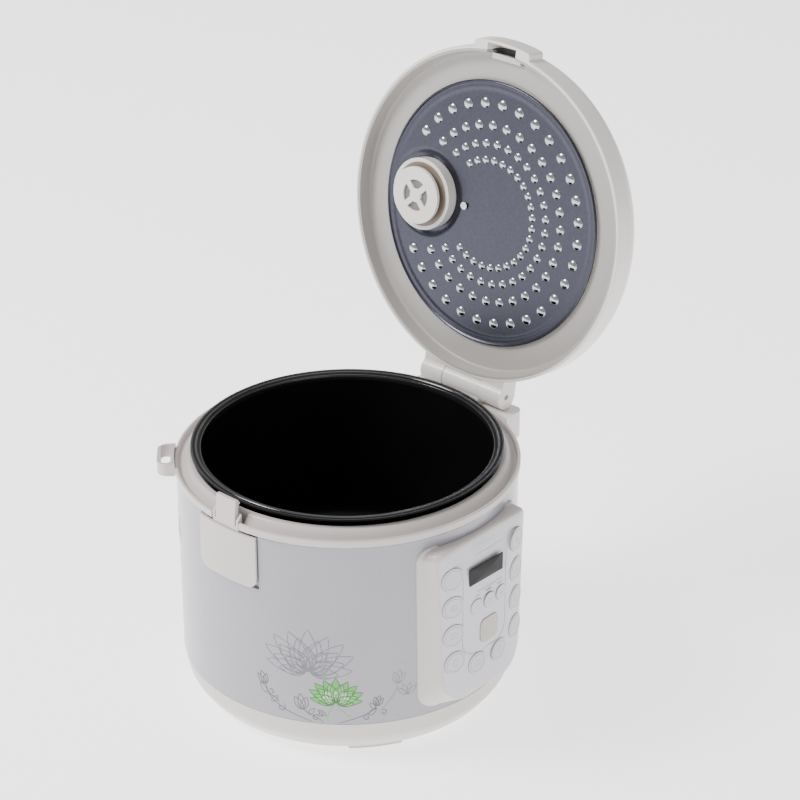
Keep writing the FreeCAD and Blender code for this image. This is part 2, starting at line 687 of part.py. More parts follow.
# ---- hinge --------------------------------------------------------------
def hinge_bracket():
    knuckle = rod_x(KNUCKLE_R, -KNUCKLE_HALF, KNUCKLE_HALF, HINGE_Y, HINGE_Z)
    stem = box(-KNUCKLE_HALF, KNUCKLE_HALF, BODY_R + 0.5, HINGE_Y + KNUCKLE_R, HOUSING_LOW_Z, HINGE_Z)
    base = box(-HOUSING_HALF, HOUSING_HALF, BODY_R - 1.0, HOUSING_Y, HOUSING_LOW_Z, HOUSING_TOP_Z)
    upright = [e for e in base.Edges if e.BoundBox.ZLength > 1 and e.BoundBox.YMin > HOUSING_Y - 1]
    base = base.makeFillet(8.0, upright)
    base = cut(base, disc(BODY_R + 0.1, HOUSING_LOW_Z - 1, SHELL_TOP_Z + 0.2))
    shape = fuse(base, stem, knuckle)
    shape = cut(shape, disc(BODY_R + 0.1, HOUSING_LOW_Z - 1, SHELL_TOP_Z + 0.2))
    side = rod_x(EAR_R + SWEEP_CLEAR, KNUCKLE_HALF, EAR_OUT + 1, HINGE_Y, HINGE_Z)
    side2 = rod_x(EAR_R + SWEEP_CLEAR, -EAR_OUT - 1, -KNUCKLE_HALF, HINGE_Y, HINGE_Z)
    pocket = rod_x(SPRING_POCKET_R, -SPRING_HALF - 0.4, SPRING_HALF + 0.4, HINGE_Y, HINGE_Z)
    bore = rod_x(PIN_R, -BIG, BIG, HINGE_Y, HINGE_Z)
    return cut(shape, side, side2, pocket, bore)


def hinge_pin():
    return rod_x(PIN_R, -PIN_HALF, PIN_HALF, HINGE_Y, HINGE_Z)


def lid_spring():
    n = 12
    pitch = (2 * SPRING_HALF - 2 * SPRING_WIRE_R - 1) / n
    helix = Part.makeHelix(pitch, pitch * n, SPRING_R)
    circle = Part.Wire(Part.makeCircle(SPRING_WIRE_R, V(SPRING_R, 0, 0), V(0, 1, 0)))
    shape = Part.Wire(helix.Edges).makePipeShell([circle], True, True)
    shape.translate(V(0, 0, -pitch * n / 2))
    shape.rotate(ORIGIN, V(0, 1, 0), 90)
    shape.translate(V(0, HINGE_Y, HINGE_Z))
    return shape


# ---- latch --------------------------------------------------------------
def release_plate():
    r = BODY_R + LATCH_PROUD
    shape = arc_block(r - LATCH_T, r, -LATCH_HALF_DEG, LATCH_HALF_DEG, LATCH_LOW_Z, LATCH_HIGH_Z)
    low = [e for e in shape.Edges if e.Length < LATCH_T + 0.1 and e.BoundBox.ZMax < LATCH_LOW_Z + 0.1]
    shape = shape.makeFillet(8.0, low)
    stalks = []
    for x in (-14.0, 14.0):
        stalks.append(box(x - 2, x + 2, -r + LATCH_T - 1.2, LATCH_PIN_Y + 3.5, LATCH_PIN_Z - 4, LATCH_PIN_Z + 4))
    bore = rod_x(LATCH_PIN_R + HINGE_CLEAR, -BIG, BIG, LATCH_PIN_Y, LATCH_PIN_Z)
    return cut(fuse(shape, *stalks), bore)


def latch_hook():
    pts = [(HOOK_OUT_Y, LATCH_HIGH_Z - 3.0), (HOOK_OUT_Y - 0.2, RING_TOP_Z), (HOOK_OUT_Y + 1.6, HOOK_TOP_Z),
           (HOOK_IN_Y, HOOK_TOP_Z), (HOOK_IN_Y + HOOK_NOSE, HOOK_TOP_Z - 3.2),
           (HOOK_IN_Y, HOOK_TOP_Z - 4.6), (HOOK_IN_Y - 0.6, LATCH_HIGH_Z - 3.0)]
    wire = Part.makePolygon([V(-HOOK_HALF, y, z) for y, z in pts + [pts[0]]])
    tongue = Part.Face(wire).extrude(V(2 * HOOK_HALF, 0, 0))
    leg = box(-11.4, 11.4, -BODY_R - 0.1, HOOK_IN_Y - 0.6, LATCH_PIN_Z - 5, LATCH_HIGH_Z - 2.0)
    arm = box(-8, 8, HOOK_IN_Y - 1, LATCH_PIN_Y + 3.5, LATCH_PIN_Z - 4, LATCH_PIN_Z + 4)
    gussets = []
    for x in (-HOOK_BASE_HALF, HOOK_BASE_HALF - 2.2):
        tri = Part.makePolygon([V(x, HOOK_OUT_Y, LATCH_HIGH_Z - 2), V(x, HOOK_IN_Y, LATCH_HIGH_Z - 2),
                                V(x, HOOK_IN_Y, RING_TOP_Z + 6), V(x, HOOK_OUT_Y, RING_TOP_Z + 1),
                                V(x, HOOK_OUT_Y, LATCH_HIGH_Z - 2)])
        gussets.append(Part.Face(tri).extrude(V(2.2, 0, 0)))
    foot = box(-HOOK_BASE_HALF, HOOK_BASE_HALF, HOOK_OUT_Y, HOOK_IN_Y, LATCH_HIGH_Z - 3, RING_TOP_Z - 4)
    bore = rod_x(LATCH_PIN_R + HINGE_CLEAR, -BIG, BIG, LATCH_PIN_Y, LATCH_PIN_Z)
    plate_back = tube(BIG, BODY_R + LATCH_PROUD - LATCH_T - 0.1, LATCH_LOW_Z, LATCH_HIGH_Z + 0.2)
    return cut(fuse(tongue, leg, arm, foot, *gussets), bore, plate_back)


def latch_pin():
    return rod_x(LATCH_PIN_R, -LATCH_PIN_HALF, LATCH_PIN_HALF, LATCH_PIN_Y, LATCH_PIN_Z)


def latch_bracket():
    made = []
    for x in (-19.6, 17.0):
        made.append(box(x, x + 2.6, LATCH_PIN_Y - 4, -CHAMBER_R - CHAMBER_WALL - 0.4, LATCH_PIN_Z - 5,
                        SHELL_TOP_Z + 0.3 - 2.1))
    web = box(-19.6, 19.6, -CHAMBER_R - CHAMBER_WALL - 2.2, -CHAMBER_R - CHAMBER_WALL - 0.4,
              LATCH_PIN_Z - 28, LATCH_PIN_Z - 6)
    foot = [box(x, x + 2.6, LATCH_PIN_Y - 4, -CHAMBER_R - CHAMBER_WALL - 0.4, LATCH_PIN_Z - 28,
                LATCH_PIN_Z + 2) for x in (-19.6, 17.0)]
    bore = rod_x(LATCH_PIN_R, -BIG, BIG, LATCH_PIN_Y, LATCH_PIN_Z)
    return cut(fuse(web, *foot, *made), bore)


def latch_spring():
    y0 = -CHAMBER_R - CHAMBER_WALL - 2.2
    y1 = -BODY_R - LATCH_PROUD + LATCH_T
    n = 5
    z = LATCH_PIN_Z - 20
    wire_r = 0.5
    length = y0 - y1 - 2.2 - 2 * wire_r
    helix = Part.makeHelix(length / n, length, 3.2)
    circle = Part.Wire(Part.makeCircle(wire_r, V(3.2, 0, 0), V(0, 1, 0)))
    shape = Part.Wire(helix.Edges).makePipeShell([circle], True, True)
    shape.rotate(ORIGIN, V(1, 0, 0), 90)
    shape.translate(V(0, y0 - wire_r, z))
    return shape


# ---- lid ----------------------------------------------------------------
def lid_low():
    return RING_TOP_Z + LID_GAP


def slot_cut(grow):
    return box(-SLOT_HALF - grow, SLOT_HALF + grow, SLOT_OUT_Y - grow, SLOT_IN_Y + grow, lid_low() - 1,
               SLOT_TOP_Z + grow)


def lid_notch():
    return rod_x(KNUCKLE_R + SWEEP_CLEAR + 0.4, -KNUCKLE_HALF - 0.5, KNUCKLE_HALF + 0.5, HINGE_Y, HINGE_Z)


def lid_outer():
    low = lid_low()
    w = LID_WALL
    band = low + LID_BAND_H
    shape = rounded([(LID_R - w, low), (LID_R, low), (LID_R, band), (LID_SHOULDER_R, LID_TOP_Z - 4),
                     (LID_FLAT_R, LID_TOP_Z), (0, LID_TOP_Z), (0, LID_TOP_Z - w),
                     (LID_FLAT_R, LID_TOP_Z - w), (LID_SHOULDER_R - 1.5, LID_TOP_Z - 4 - w),
                     (LID_R - w, band - 1)],
                    {1: 1.0, 2: 14.0, 3: 16.0, 4: 60.0, 7: 60.0, 8: 14.0, 9: 12.0})
    boss = box(-BOSS_HALF, BOSS_HALF, -BOSS_OUT, -LID_R + 6, low, band - 4)
    boss = boss.common(disc(BOSS_OUT, low, band))
    up = [e for e in boss.Edges if e.BoundBox.ZLength > 5 and e.BoundBox.YMax < -LID_R + 1]
    boss = boss.makeFillet(3.0, up)
    ears = []
    for x0, x1 in ((KNUCKLE_HALF + 0.5, EAR_OUT), (-EAR_OUT, -KNUCKLE_HALF - 0.5)):
        ear = rod_x(EAR_R, x0, x1, HINGE_Y, HINGE_Z)
        arm = box(x0, x1, LID_R - 16.2, HINGE_Y, HINGE_Z - 6.4, HINGE_Z + EAR_R)
        ears.append(fuse(ear, arm))
    hollow = rounded([(0, low - 1), (LID_R - w, low - 1), (LID_R - w, band - 1),
                      (LID_SHOULDER_R - 1.5, LID_TOP_Z - 4 - w), (LID_FLAT_R, LID_TOP_Z - w),
                      (0, LID_TOP_Z - w)], {2: 12.0, 3: 14.0, 4: 60.0})
    shape = shape.fuse(cut(boss, hollow)).fuse(cut(ears[0], hollow)).fuse(cut(ears[1], hollow))
    bore = rod_x(PIN_R + HINGE_CLEAR, -BIG, BIG, HINGE_Y, HINGE_Z)
    vent = disc(VENT_HOLE_R, LID_TOP_Z - 20, LID_TOP_Z + 5, VENT_X, 0)
    return cut(shape, slot_cut(0.0), lid_notch(), bore, vent)


def lid_inner_ring():
    low = lid_low() + 0.2
    shape = rounded([(LID_RIM_IN_R + 0.2, low), (LID_R - LID_WALL - 0.2, low),
                     (LID_R - LID_WALL - 0.2, low + 8), (LID_RIM_IN_R + 0.9, low + 8),
                     (LID_RIM_IN_R + 0.4, LINER_Z + LINER_T), (0, LINER_Z + LINER_T),
                     (0, LINER_Z), (LID_RIM_IN_R - 2, LINER_Z)],
                    {7: 2.5})
    dish = disc(VALVE_HOLE_R + 5, LINER_Z - 1, LINER_Z + LINER_T + 1, VALVE_X, 0)
    shape = cut(shape, slot_cut(0.4), lid_notch(), dish)
    return shape


def plate_bottom():
    return LINER_Z - PLATE_DROP - PLATE_T


def dimple_spots():
    spots = []
    for r, count, half, size in DIMPLE_ROWS:
        for i in range(count):
            a = math.radians(-half + 2 * half * i / (count - 1))
            spots.append((r * math.cos(a), -r * math.sin(a), size))
    return spots


def dimpled_plate():
    z = plate_bottom()
    shape = disc(PLATE_R, z, z + PLATE_T)
    bumps = []
    for x, y, size in dimple_spots():
        bumps.append(Part.makeCone(size * 0.45, size, DIMPLE_D, V(x, y, z - DIMPLE_D + 0.01)))
    shape = shape.fuse(bumps)
    hole = disc(VALVE_HOLE_R, z - 3, z + 3, VALVE_X, 0)
    screw = disc(1.6, z - 3, z + 3, PLATE_SCREW_X, 0)
    return cut(shape, hole, screw)


def plate_gasket():
    z = plate_bottom() + PLATE_T
    return rounded([(PLATE_R - 5, z + 0.05), (PLATE_R - 0.6, z + 0.05), (PLATE_R - 0.6, LINER_Z - 0.1),
                    (PLATE_R - 5, LINER_Z - 0.1)], {2: 0.5})


def plate_screw():
    z = plate_bottom()
    head = disc(3.2, z - 1.2, z - 0.05, PLATE_SCREW_X, 0)
    shank = disc(1.55, z - 0.5, LINER_Z - 0.1, PLATE_SCREW_X, 0)
    return fuse(head, shank)


def valve_base():
    x = VALVE_X
    z = plate_bottom() - VALVE_SKIRT
    top = LINER_Z + LINER_T
    cup = Part.makeCone(VALVE_HOLE_R - 0.4, VALVE_HOLE_R - 0.9, top - z, V(x, 0, z))
    bore = disc(VALVE_NECK_R, z - 1, z + 6, x, 0)
    upper = disc(VALVE_HOLE_R - 4, z + 6, top + 1, x, 0)
    flange = disc(VALVE_HOLE_R + 4.5, LINER_Z + 0.1, top, x, 0)
    hole = disc(VALVE_HOLE_R - 4, LINER_Z - 1, top + 1, x, 0)
    shape = fuse(cut(cup, bore, upper), cut(flange, hole))
    tube_out = tube(VENT_HOLE_R - 0.4, VENT_HOLE_R - 2.2, z + 4, LID_TOP_Z - LID_WALL - 0.6)
    tube_out.translate(V(VENT_X, 0, 0))
    web = cut(disc(VALVE_HOLE_R - 3.5, z + 4, z + 6, x, 0), disc(VENT_HOLE_R - 0.6, z, top, VENT_X, 0))
    return fuse(shape, tube_out, web)


def valve_cap():
    z1 = plate_bottom() - CAP_DROP + CAP_T
    z0 = z1 - CAP_T
    seat = plate_bottom() - VALVE_SKIRT + 4
    shape = disc(CAP_R, z0, z1, VALVE_X, 0)
    window = tube(13.5, CAP_HUB_R, z0 - 1, z1 + 1)
    arms = [box(-BIG, BIG, -CAP_ARM_W / 2, CAP_ARM_W / 2, z0 - 2, z1 + 2)]
    arms.append(box(-CAP_ARM_W / 2, CAP_ARM_W / 2, -BIG, BIG, z0 - 2, z1 + 2))
    window = cut(window, *arms)
    window = turn(window, 45)
    window.translate(V(VALVE_X, 0, 0))
    skirt = tube(VALVE_NECK_R - 1.4, VALVE_NECK_R - 3.0, z1 - 0.5, seat - GAP)
    skirt.translate(V(VALVE_X, 0, 0))
    shape = cut(shape, window).fuse(skirt)
    return shape.removeSplitter()


def latch_keeper():
    return box(-KEEPER_HALF, KEEPER_HALF, KEEPER_OUT_Y, SLOT_IN_Y - 0.2, KEEPER_Z - KEEPER_T, KEEPER_Z)


def lid_screws():
    made = []
    for spot in screw_spots(LID_SCREW_COUNT, LID_SCREW_RING_R, 45):
        made.append(disc(SCREW_R - 0.6, LINER_Z + LINER_T, LINER_Z + LINER_T + 9, spot.x, spot.y))
    return group(made)


def steam_grille():
    top = LID_TOP_Z - LID_WALL - 0.2
    shape = tube(VENT_HOLE_R - 0.3, VENT_HOLE_R - 1.6, top - 0.2, LID_TOP_Z)
    bars = [box(-VENT_HOLE_R, VENT_HOLE_R, y - 0.9, y + 0.9, LID_TOP_Z - 1.6, LID_TOP_Z - 0.1)
            for y in (-4.5, 0.0, 4.5)]
    shape = shape.fuse([b.common(disc(VENT_HOLE_R - 0.4, 0, BIG)) for b in bars])
    shape.translate(V(VENT_X, 0, 0))
    return shape


BODY_NODES = (
    ("base_pan", base_pan), ("feet", feet), ("bottom_cover", bottom_cover),
    ("bottom_screws", bottom_screws), ("outer_shell", outer_shell), ("top_ring", top_ring),
    ("inner_chamber", inner_chamber), ("heating_plate", heating_plate),
    ("heating_element", heating_element), ("plate_supports", plate_supports),
    ("sensor_cup", sensor_cup), ("sensor_cap", sensor_cap), ("sensor_spring", sensor_spring),
    ("thermal_fuse", thermal_fuse), ("power_board", power_board), ("board_posts", board_posts),
    ("power_parts", power_parts), ("mains_inlet", inlet_drilled), ("inlet_pins", inlet_pins),
    ("inner_pot", inner_pot), ("panel_housing", panel_housing), ("panel_overlay", panel_overlay),
    ("display_lens", display_lens), ("display_module", display_module),
    ("control_board", control_board), ("board_spacers", board_spacers),
    ("tact_switches", tact_switches), ("scoop_holder", scoop_holder),
    ("hinge_bracket", hinge_bracket), ("hinge_pin", hinge_pin), ("lid_spring", lid_spring),
    ("release_plate", release_plate), ("latch_hook", latch_hook), ("latch_pin", latch_pin),
    ("latch_bracket", latch_bracket), ("latch_spring", latch_spring))

LID_NODES = (
    ("lid_outer", lid_outer), ("lid_inner_ring", lid_inner_ring), ("dimpled_plate", dimpled_plate),
    ("plate_gasket", plate_gasket), ("plate_screw", plate_screw), ("valve_base", valve_base),
    ("valve_cap", valve_cap), ("latch_keeper", latch_keeper), ("lid_screws", lid_screws),
    ("steam_grille", steam_grille))


def build():
    for name, make in BODY_NODES:
        save(name, make())
    for name, make in LID_NODES:
        save(name, opened(make()))
    for name, deg, z, r, half_h in key_spots():
        save(name, key_shape(deg, z, r, half_h))


build()
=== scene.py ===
import json
import math

import bmesh
import bpy
from mathutils import Matrix, Vector


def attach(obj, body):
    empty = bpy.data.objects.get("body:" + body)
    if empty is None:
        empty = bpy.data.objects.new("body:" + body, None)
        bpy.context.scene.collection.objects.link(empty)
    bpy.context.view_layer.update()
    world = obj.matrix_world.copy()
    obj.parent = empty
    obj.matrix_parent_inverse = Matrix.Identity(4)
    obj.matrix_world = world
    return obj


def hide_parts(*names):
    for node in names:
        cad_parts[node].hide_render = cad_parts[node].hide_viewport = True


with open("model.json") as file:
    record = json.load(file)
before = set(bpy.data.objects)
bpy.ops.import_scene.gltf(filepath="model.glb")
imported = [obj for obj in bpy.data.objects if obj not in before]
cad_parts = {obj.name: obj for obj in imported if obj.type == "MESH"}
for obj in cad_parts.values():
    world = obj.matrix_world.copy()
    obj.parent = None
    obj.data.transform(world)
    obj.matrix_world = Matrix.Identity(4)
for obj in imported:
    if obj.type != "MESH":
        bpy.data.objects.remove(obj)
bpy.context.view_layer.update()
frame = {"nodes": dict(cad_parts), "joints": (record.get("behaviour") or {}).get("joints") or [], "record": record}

MM = 0.001
HINGE = next(j for j in frame["joints"] if j["name"] == "lid_hinge")
HINGE_AT = Vector(HINGE["pos_m"])
OPEN_ANGLE = math.radians(min(HINGE["range_deg"]))
TO_OPEN = (Matrix.Translation(HINGE_AT) @ Matrix.Rotation(OPEN_ANGLE, 4, "X")
           @ Matrix.Translation(-HINGE_AT))

# Sizes in millimetres, as in the CAD source.
SHELL_R = 140.5
KEY_TOP_R = 154.9
RIM_Z = 220.0
RIM_SEGMENTS = 192
POT_RIM_PROFILES = (
    ("pot_rim_outer", ((128.3, -1.0), (128.6, -0.5), (128.0, 0.15), (126.9, -0.35))),
    ("pot_rim_mid", ((124.9, -0.5), (124.3, 0.1), (123.4, 0.1), (122.9, -0.7))),
    ("pot_rim_inner", ((121.0, -1.35), (120.5, -1.1), (119.95, -1.9), (119.9, -6.0))))
PLATE_Z = 218.4
PLATE_R = 113.2
VALVE_X = -69.0
CAP_TOP_Z = 205.9
FLANGE_Z = 210.4
NECK_TOP_Z = 213.9
NECK_R = 19.75
CAP_SEGMENTS = 96
SCREEN_SEGMENTS = 64
SCREEN_DROP = 1.2
SCREEN_RADII = (14.6, 12.0, 9.0, 6.0, 3.0, 0.6)
VALVE_FLOOR = ((21.1, -0.1), (24.0, -0.12), (27.6, -0.1), (28.0, 0.1))
VALVE_DISH_R = 36.0
DIMPLE_ROWS = ((94.0, 27, 146.0, 3.75), (75.5, 26, 140.5, 3.4), (60.0, 25, 135.4, 3.0),
               (46.0, 23, 126.3, 2.75))
LEFT_KEYS = ((-14.9, 165.5), (-14.5, 139.2), (-14.2, 112.8), (-13.6, 87.0))
RIGHT_KEYS = ((14.3, 169.0), (14.3, 141.5), (14.3, 114.0), (14.3, 87.0))
SIDE_KEY_R = 10.2
BOTTOM_KEYS = ((-5.0, 77.5), (5.0, 77.5))
BOTTOM_KEY_R = 9.6
SMALL_KEYS = ((-5.5, 131.5), (0.0, 131.5), (5.5, 131.5))
SMALL_KEY_R = 6.6
START_AT = (0.0, 105.0)
START_HALF = (10.5, 11.0)
DISPLAY_AT = (-1.1, 160.3)
DISPLAY_HALF = (20.0, 7.7)
POD_BASE_HALF = 61.0
POD_LOW_Z = 42.3
POD_HIGH_Z = 192.7
POD_FACE_R = 153.95
POD_MID_Z = (POD_LOW_Z + POD_HIGH_Z) / 2
POD_DEG = 90.0
POD_BASE = {"taper": 1.5, "radii": (12.0, 16.0), "low": POD_LOW_Z, "high": POD_HIGH_Z,
            "half": POD_BASE_HALF}
POD_FACE = {"taper": 6.0, "radii": (7.0, 24.0), "low": POD_LOW_Z + 6.5, "high": POD_HIGH_Z - 2.6,
            "half": 55.0}
SHEET_R = POD_FACE_R + 0.15
GROOVE_R = POD_FACE_R + 0.12
# Width, lift and offset of the painted shade rings round the keys.
GAP_SHADE_W = 0.7
GAP_SHADE_LIFT = 0.06
GAP_SHADE_OUT = 0.15
START_CORNER_R = 6.0
EMBOSS_LEFT = -29.4
EMBOSS_RIGHT = 21.6
EMBOSS_LOW_Z = 102.0
EMBOSS_R = 14.0
BRAND_DASH_Z = 180.0
RECESS_HALF = 31.5
RECESS_LOW_Z = 152.95
RECESS_TOP_Z = 200.0
RECESS_DEPTH = 2.6
LEDGE_W = 5.0


# ---- materials ----------------------------------------------------------
def new_material(name):
    mat = bpy.data.materials.new(name)
    mat.use_nodes = True
    nodes = mat.node_tree.nodes
    return mat, nodes, mat.node_tree.links, nodes["Principled BSDF"]


def noise(nodes, links, scale, detail=2.0):
    coord = nodes.new("ShaderNodeTexCoord")
    tex = nodes.new("ShaderNodeTexNoise")
    tex.inputs["Scale"].default_value = scale
    tex.inputs["Detail"].default_value = detail
    links.new(coord.outputs["Object"], tex.inputs["Vector"])
    return tex


def ramp_between(nodes, links, source, low, high, at=(0.3, 0.7)):
    ramp = nodes.new("ShaderNodeValToRGB")
    ramp.color_ramp.elements[0].position = at[0]
    ramp.color_ramp.elements[1].position = at[1]
    ramp.color_ramp.elements[0].color = (*low, 1.0)
    ramp.color_ramp.elements[1].color = (*high, 1.0)
    links.new(source, ramp.inputs["Fac"])
    return ramp


def moulded(name, color, rough, grain=0.03, grain_scale=900.0, spread=0.02, coat=0.0,
            metallic=0.0, specular=0.5):
    """Plastic, paint or rubber: slow colour drift, a fine grain in the roughness and in the bump."""
    mat, nodes, links, bsdf = new_material(name)
    drift = noise(nodes, links, 14.0)
    low = [max(0.0, c * (1 - spread)) for c in color]
    high = [min(1.0, c * (1 + spread)) for c in color]
    tint = ramp_between(nodes, links, drift.outputs["Fac"], low, high)
    links.new(tint.outputs["Color"], bsdf.inputs["Base Color"])
    fine = noise(nodes, links, grain_scale, 3.0)
    spread_rough = nodes.new("ShaderNodeMapRange")
    spread_rough.inputs["To Min"].default_value = rough * 0.88
    spread_rough.inputs["To Max"].default_value = min(1.0, rough * 1.12)
    links.new(fine.outputs["Fac"], spread_rough.inputs["Value"])
    links.new(spread_rough.outputs["Result"], bsdf.inputs["Roughness"])
    bump = nodes.new("ShaderNodeBump")
    bump.inputs["Strength"].default_value = grain
    bump.inputs["Distance"].default_value = 0.0004
    links.new(fine.outputs["Fac"], bump.inputs["Height"])
    links.new(bump.outputs["Normal"], bsdf.inputs["Normal"])
    bsdf.inputs["Metallic"].default_value = metallic
    bsdf.inputs["Specular IOR Level"].default_value = specular
    bsdf.inputs["Coat Weight"].default_value = coat
    bsdf.inputs["Coat Roughness"].default_value = 0.08
    return mat


def brushed(name, color, rough, stretch=(1.0, 1.0, 40.0), scale=60.0, strength=0.05):
    """Metal with a fine one-way finish."""
    mat, nodes, links, bsdf = new_material(name)
    coord = nodes.new("ShaderNodeTexCoord")
    mapping = nodes.new("ShaderNodeMapping")
    mapping.inputs["Scale"].default_value = stretch
    tex = nodes.new("ShaderNodeTexNoise")
    tex.inputs["Scale"].default_value = scale
    tex.inputs["Detail"].default_value = 4.0
    links.new(coord.outputs["Object"], mapping.inputs["Vector"])
    links.new(mapping.outputs["Vector"], tex.inputs["Vector"])
    low = [c * 0.9 for c in color]
    high = [min(1.0, c * 1.1) for c in color]
    tint = ramp_between(nodes, links, tex.outputs["Fac"], low, high)
    links.new(tint.outputs["Color"], bsdf.inputs["Base Color"])
    spread_rough = nodes.new("ShaderNodeMapRange")
    spread_rough.inputs["To Min"].default_value = rough * 0.8
    spread_rough.inputs["To Max"].default_value = rough * 1.2
    links.new(tex.outputs["Fac"], spread_rough.inputs["Value"])
    links.new(spread_rough.outputs["Result"], bsdf.inputs["Roughness"])
    bump = nodes.new("ShaderNodeBump")
    bump.inputs["Strength"].default_value = strength
    bump.inputs["Distance"].default_value = 0.0003
    links.new(tex.outputs["Fac"], bump.inputs["Height"])
    links.new(bump.outputs["Normal"], bsdf.inputs["Normal"])
    bsdf.inputs["Metallic"].default_value = 1.0
    return mat


def make_materials():
    return {
        "cream_plastic": moulded("cream_plastic", (0.60, 0.55, 0.53), 0.36, coat=0.1),
        "shell_coat": moulded("shell_coat", (0.325, 0.32, 0.362), 0.28, grain=0.015,
                              grain_scale=1600.0, coat=0.35, specular=0.6),
        "lid_plastic": moulded("lid_plastic", (0.76, 0.73, 0.70), 0.30, coat=0.2),
        "liner_plastic": moulded("liner_plastic", (0.40, 0.375, 0.355), 0.36, grain=0.04),
        "steel_plate": brushed("steel_plate", (0.058, 0.059, 0.076), 0.30, (1, 1, 1), 380.0),
        "nonstick": moulded("nonstick", (0.004, 0.004, 0.0045), 0.30, grain=0.05,
                            grain_scale=1300.0, spread=0.2, specular=0.22),
        "nonstick_gloss": moulded("nonstick_gloss", (0.012, 0.012, 0.013), 0.16, grain=0.02, coat=0.8),
        # The plate's own metal, painted far lighter than the plate: a painted highlight on the dimples.
        "dimple_painted_highlight": brushed("dimple_painted_highlight", (0.42, 0.44, 0.48), 0.16, (1, 1, 1), 300.0, 0.02),
        "cast_heater": brushed("cast_heater", (0.55, 0.55, 0.56), 0.5, (1, 1, 1), 500.0, 0.15),
        "steel": brushed("steel", (0.56, 0.56, 0.57), 0.32),
        "rubber_pad": moulded("rubber_pad", (0.55, 0.53, 0.51), 0.7, grain=0.2),
        "seal": moulded("seal", (0.60, 0.59, 0.57), 0.55, grain=0.05),
        "board_green": moulded("board_green", (0.05, 0.22, 0.08), 0.4, spread=0.15),
        "dark_plastic": moulded("dark_plastic", (0.035, 0.034, 0.036), 0.45, grain=0.12),
        "overlay_white": moulded("overlay_white", (0.60, 0.60, 0.645), 0.30, grain=0.02,
                                 coat=0.25),
        "display_dark": moulded("display_dark", (0.02, 0.018, 0.018), 0.45, grain=0.01,
                                spread=0.1, coat=0.0, specular=0.15),
        "key_white": moulded("key_white", (0.58, 0.575, 0.61), 0.32, grain=0.03),
        "key_beige": moulded("key_beige", (0.49, 0.45, 0.41), 0.36, grain=0.04),
        "print_grey": moulded("print_grey", (0.11, 0.11, 0.125), 0.35, spread=0.08),
        "print_green": moulded("print_green", (0.10, 0.40, 0.08), 0.35, spread=0.25),
        "print_pale": moulded("print_pale", (0.12, 0.52, 0.09), 0.35, spread=0.25),
        "print_leaf": moulded("print_leaf", (0.34, 0.66, 0.28), 0.35, spread=0.15),
        "print_deep": moulded("print_deep", (0.05, 0.11, 0.045), 0.40, spread=0.10),
        "neck_brown": moulded("neck_brown", (0.20, 0.155, 0.12), 0.45, spread=0.12),
        "cap_screen": moulded("cap_screen", (0.17, 0.15, 0.16), 0.5, grain=0.08, grain_scale=1400.0),
        # Dark grey for the rings round the keys: painted shade where the gaps round the keys fall dark.
        "painted_gap_shade": moulded("painted_gap_shade", (0.22, 0.22, 0.25), 0.45, spread=0.05),
        "print_beige": moulded("print_beige", (0.62, 0.59, 0.55), 0.40, spread=0.05),
        "print_key": moulded("print_key", (0.40, 0.40, 0.43), 0.35, spread=0.05),
        "print_light": moulded("print_light", (0.19, 0.19, 0.215), 0.35, spread=0.05),
    }


MATS = make_materials()
SLOT_OF = {s["node"]: s["material_slot"] for s in frame["record"]["subparts"]}


def dress_cad_nodes():
    for node, obj in frame["nodes"].items():
        for place in obj.material_slots:
            place.material = MATS[SLOT_OF[node]]


# ---- mesh helpers -------------------------------------------------------
def finish_piece(name, mesh, body, mat, smooth=True):
    obj = bpy.data.objects.new(name, mesh)
    bpy.context.scene.collection.objects.link(obj)
    mesh.materials.append(MATS[mat])
    for poly in mesh.polygons:
        poly.use_smooth = smooth
    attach(obj, body)
    return obj


def mesh_from(name, bm, matrix=None):
    bmesh.ops.recalc_face_normals(bm, faces=bm.faces)
    if matrix is not None:
        bm.transform(matrix)
    mesh = bpy.data.meshes.new(name)
    bm.to_mesh(mesh)
    bm.free()
    return mesh


def join_rows(bm, rows, closed=True):
    """Faces between each row of vertices and the next one; closed rows meet at their ends."""
    for a, b in zip(rows, rows[1:]):
        count = len(a)
        for k in range(count if closed else count - 1):
            j = (k + 1) % count
            bm.faces.new((a[k], a[j], b[j], b[k]))


def circle_row(bm, x, y, r, z, count):
    """A ring of vertices about a vertical axis at x, y, in mm."""
    return [bm.verts.new(((x + r * math.cos(2 * math.pi * k / count)) * MM,
                          (y + r * math.sin(2 * math.pi * k / count)) * MM, z * MM))
            for k in range(count)]


def on_drum(radius, deg, s, z):
    """A point on a drum about the body's axis: s runs round it from the bearing deg, in mm."""
    a = math.radians(deg) + s / radius
    return Vector((radius * math.sin(a), -radius * math.cos(a), z)) * MM


def add_ribbon(bm, radius, deg, path, width, lift, closed=False):
    """A raised line on a drum, with a flat top and sloped sides, narrowed to about a third of its width at open
    ends.
    """
    n = len(path)
    rings = []
    for i, (s, z) in enumerate(path):
        if closed:
            a, b = path[i - 1], path[(i + 1) % n]
        else:
            a, b = path[max(0, i - 1)], path[min(n - 1, i + 1)]
        dx, dz = b[0] - a[0], b[1] - a[1]
        length = math.hypot(dx, dz) or 1.0
        nx, nz = -dz / length, dx / length
        w = width
        if not closed:
            w *= 0.35 + 0.65 * math.sin(math.pi * min(1.0, max(0.0, i / (n - 1)))) ** 0.5
        row = []
        for side, up in ((-0.5, -0.15), (-0.38, lift), (0.38, lift), (0.5, -0.15)):
            point = on_drum(radius + up, deg, s + nx * w * side, z + nz * w * side)
            row.append(bm.verts.new(point))
        rings.append(row)
    spans = n if closed else n - 1
    for i in range(spans):
        p, q = rings[i], rings[(i + 1) % n]
        for k in range(4):
            bm.faces.new((p[k], p[(k + 1) % 4], q[(k + 1) % 4], q[k]))
    if not closed:
        bm.faces.new(rings[0])
        bm.faces.new(list(reversed(rings[-1])))


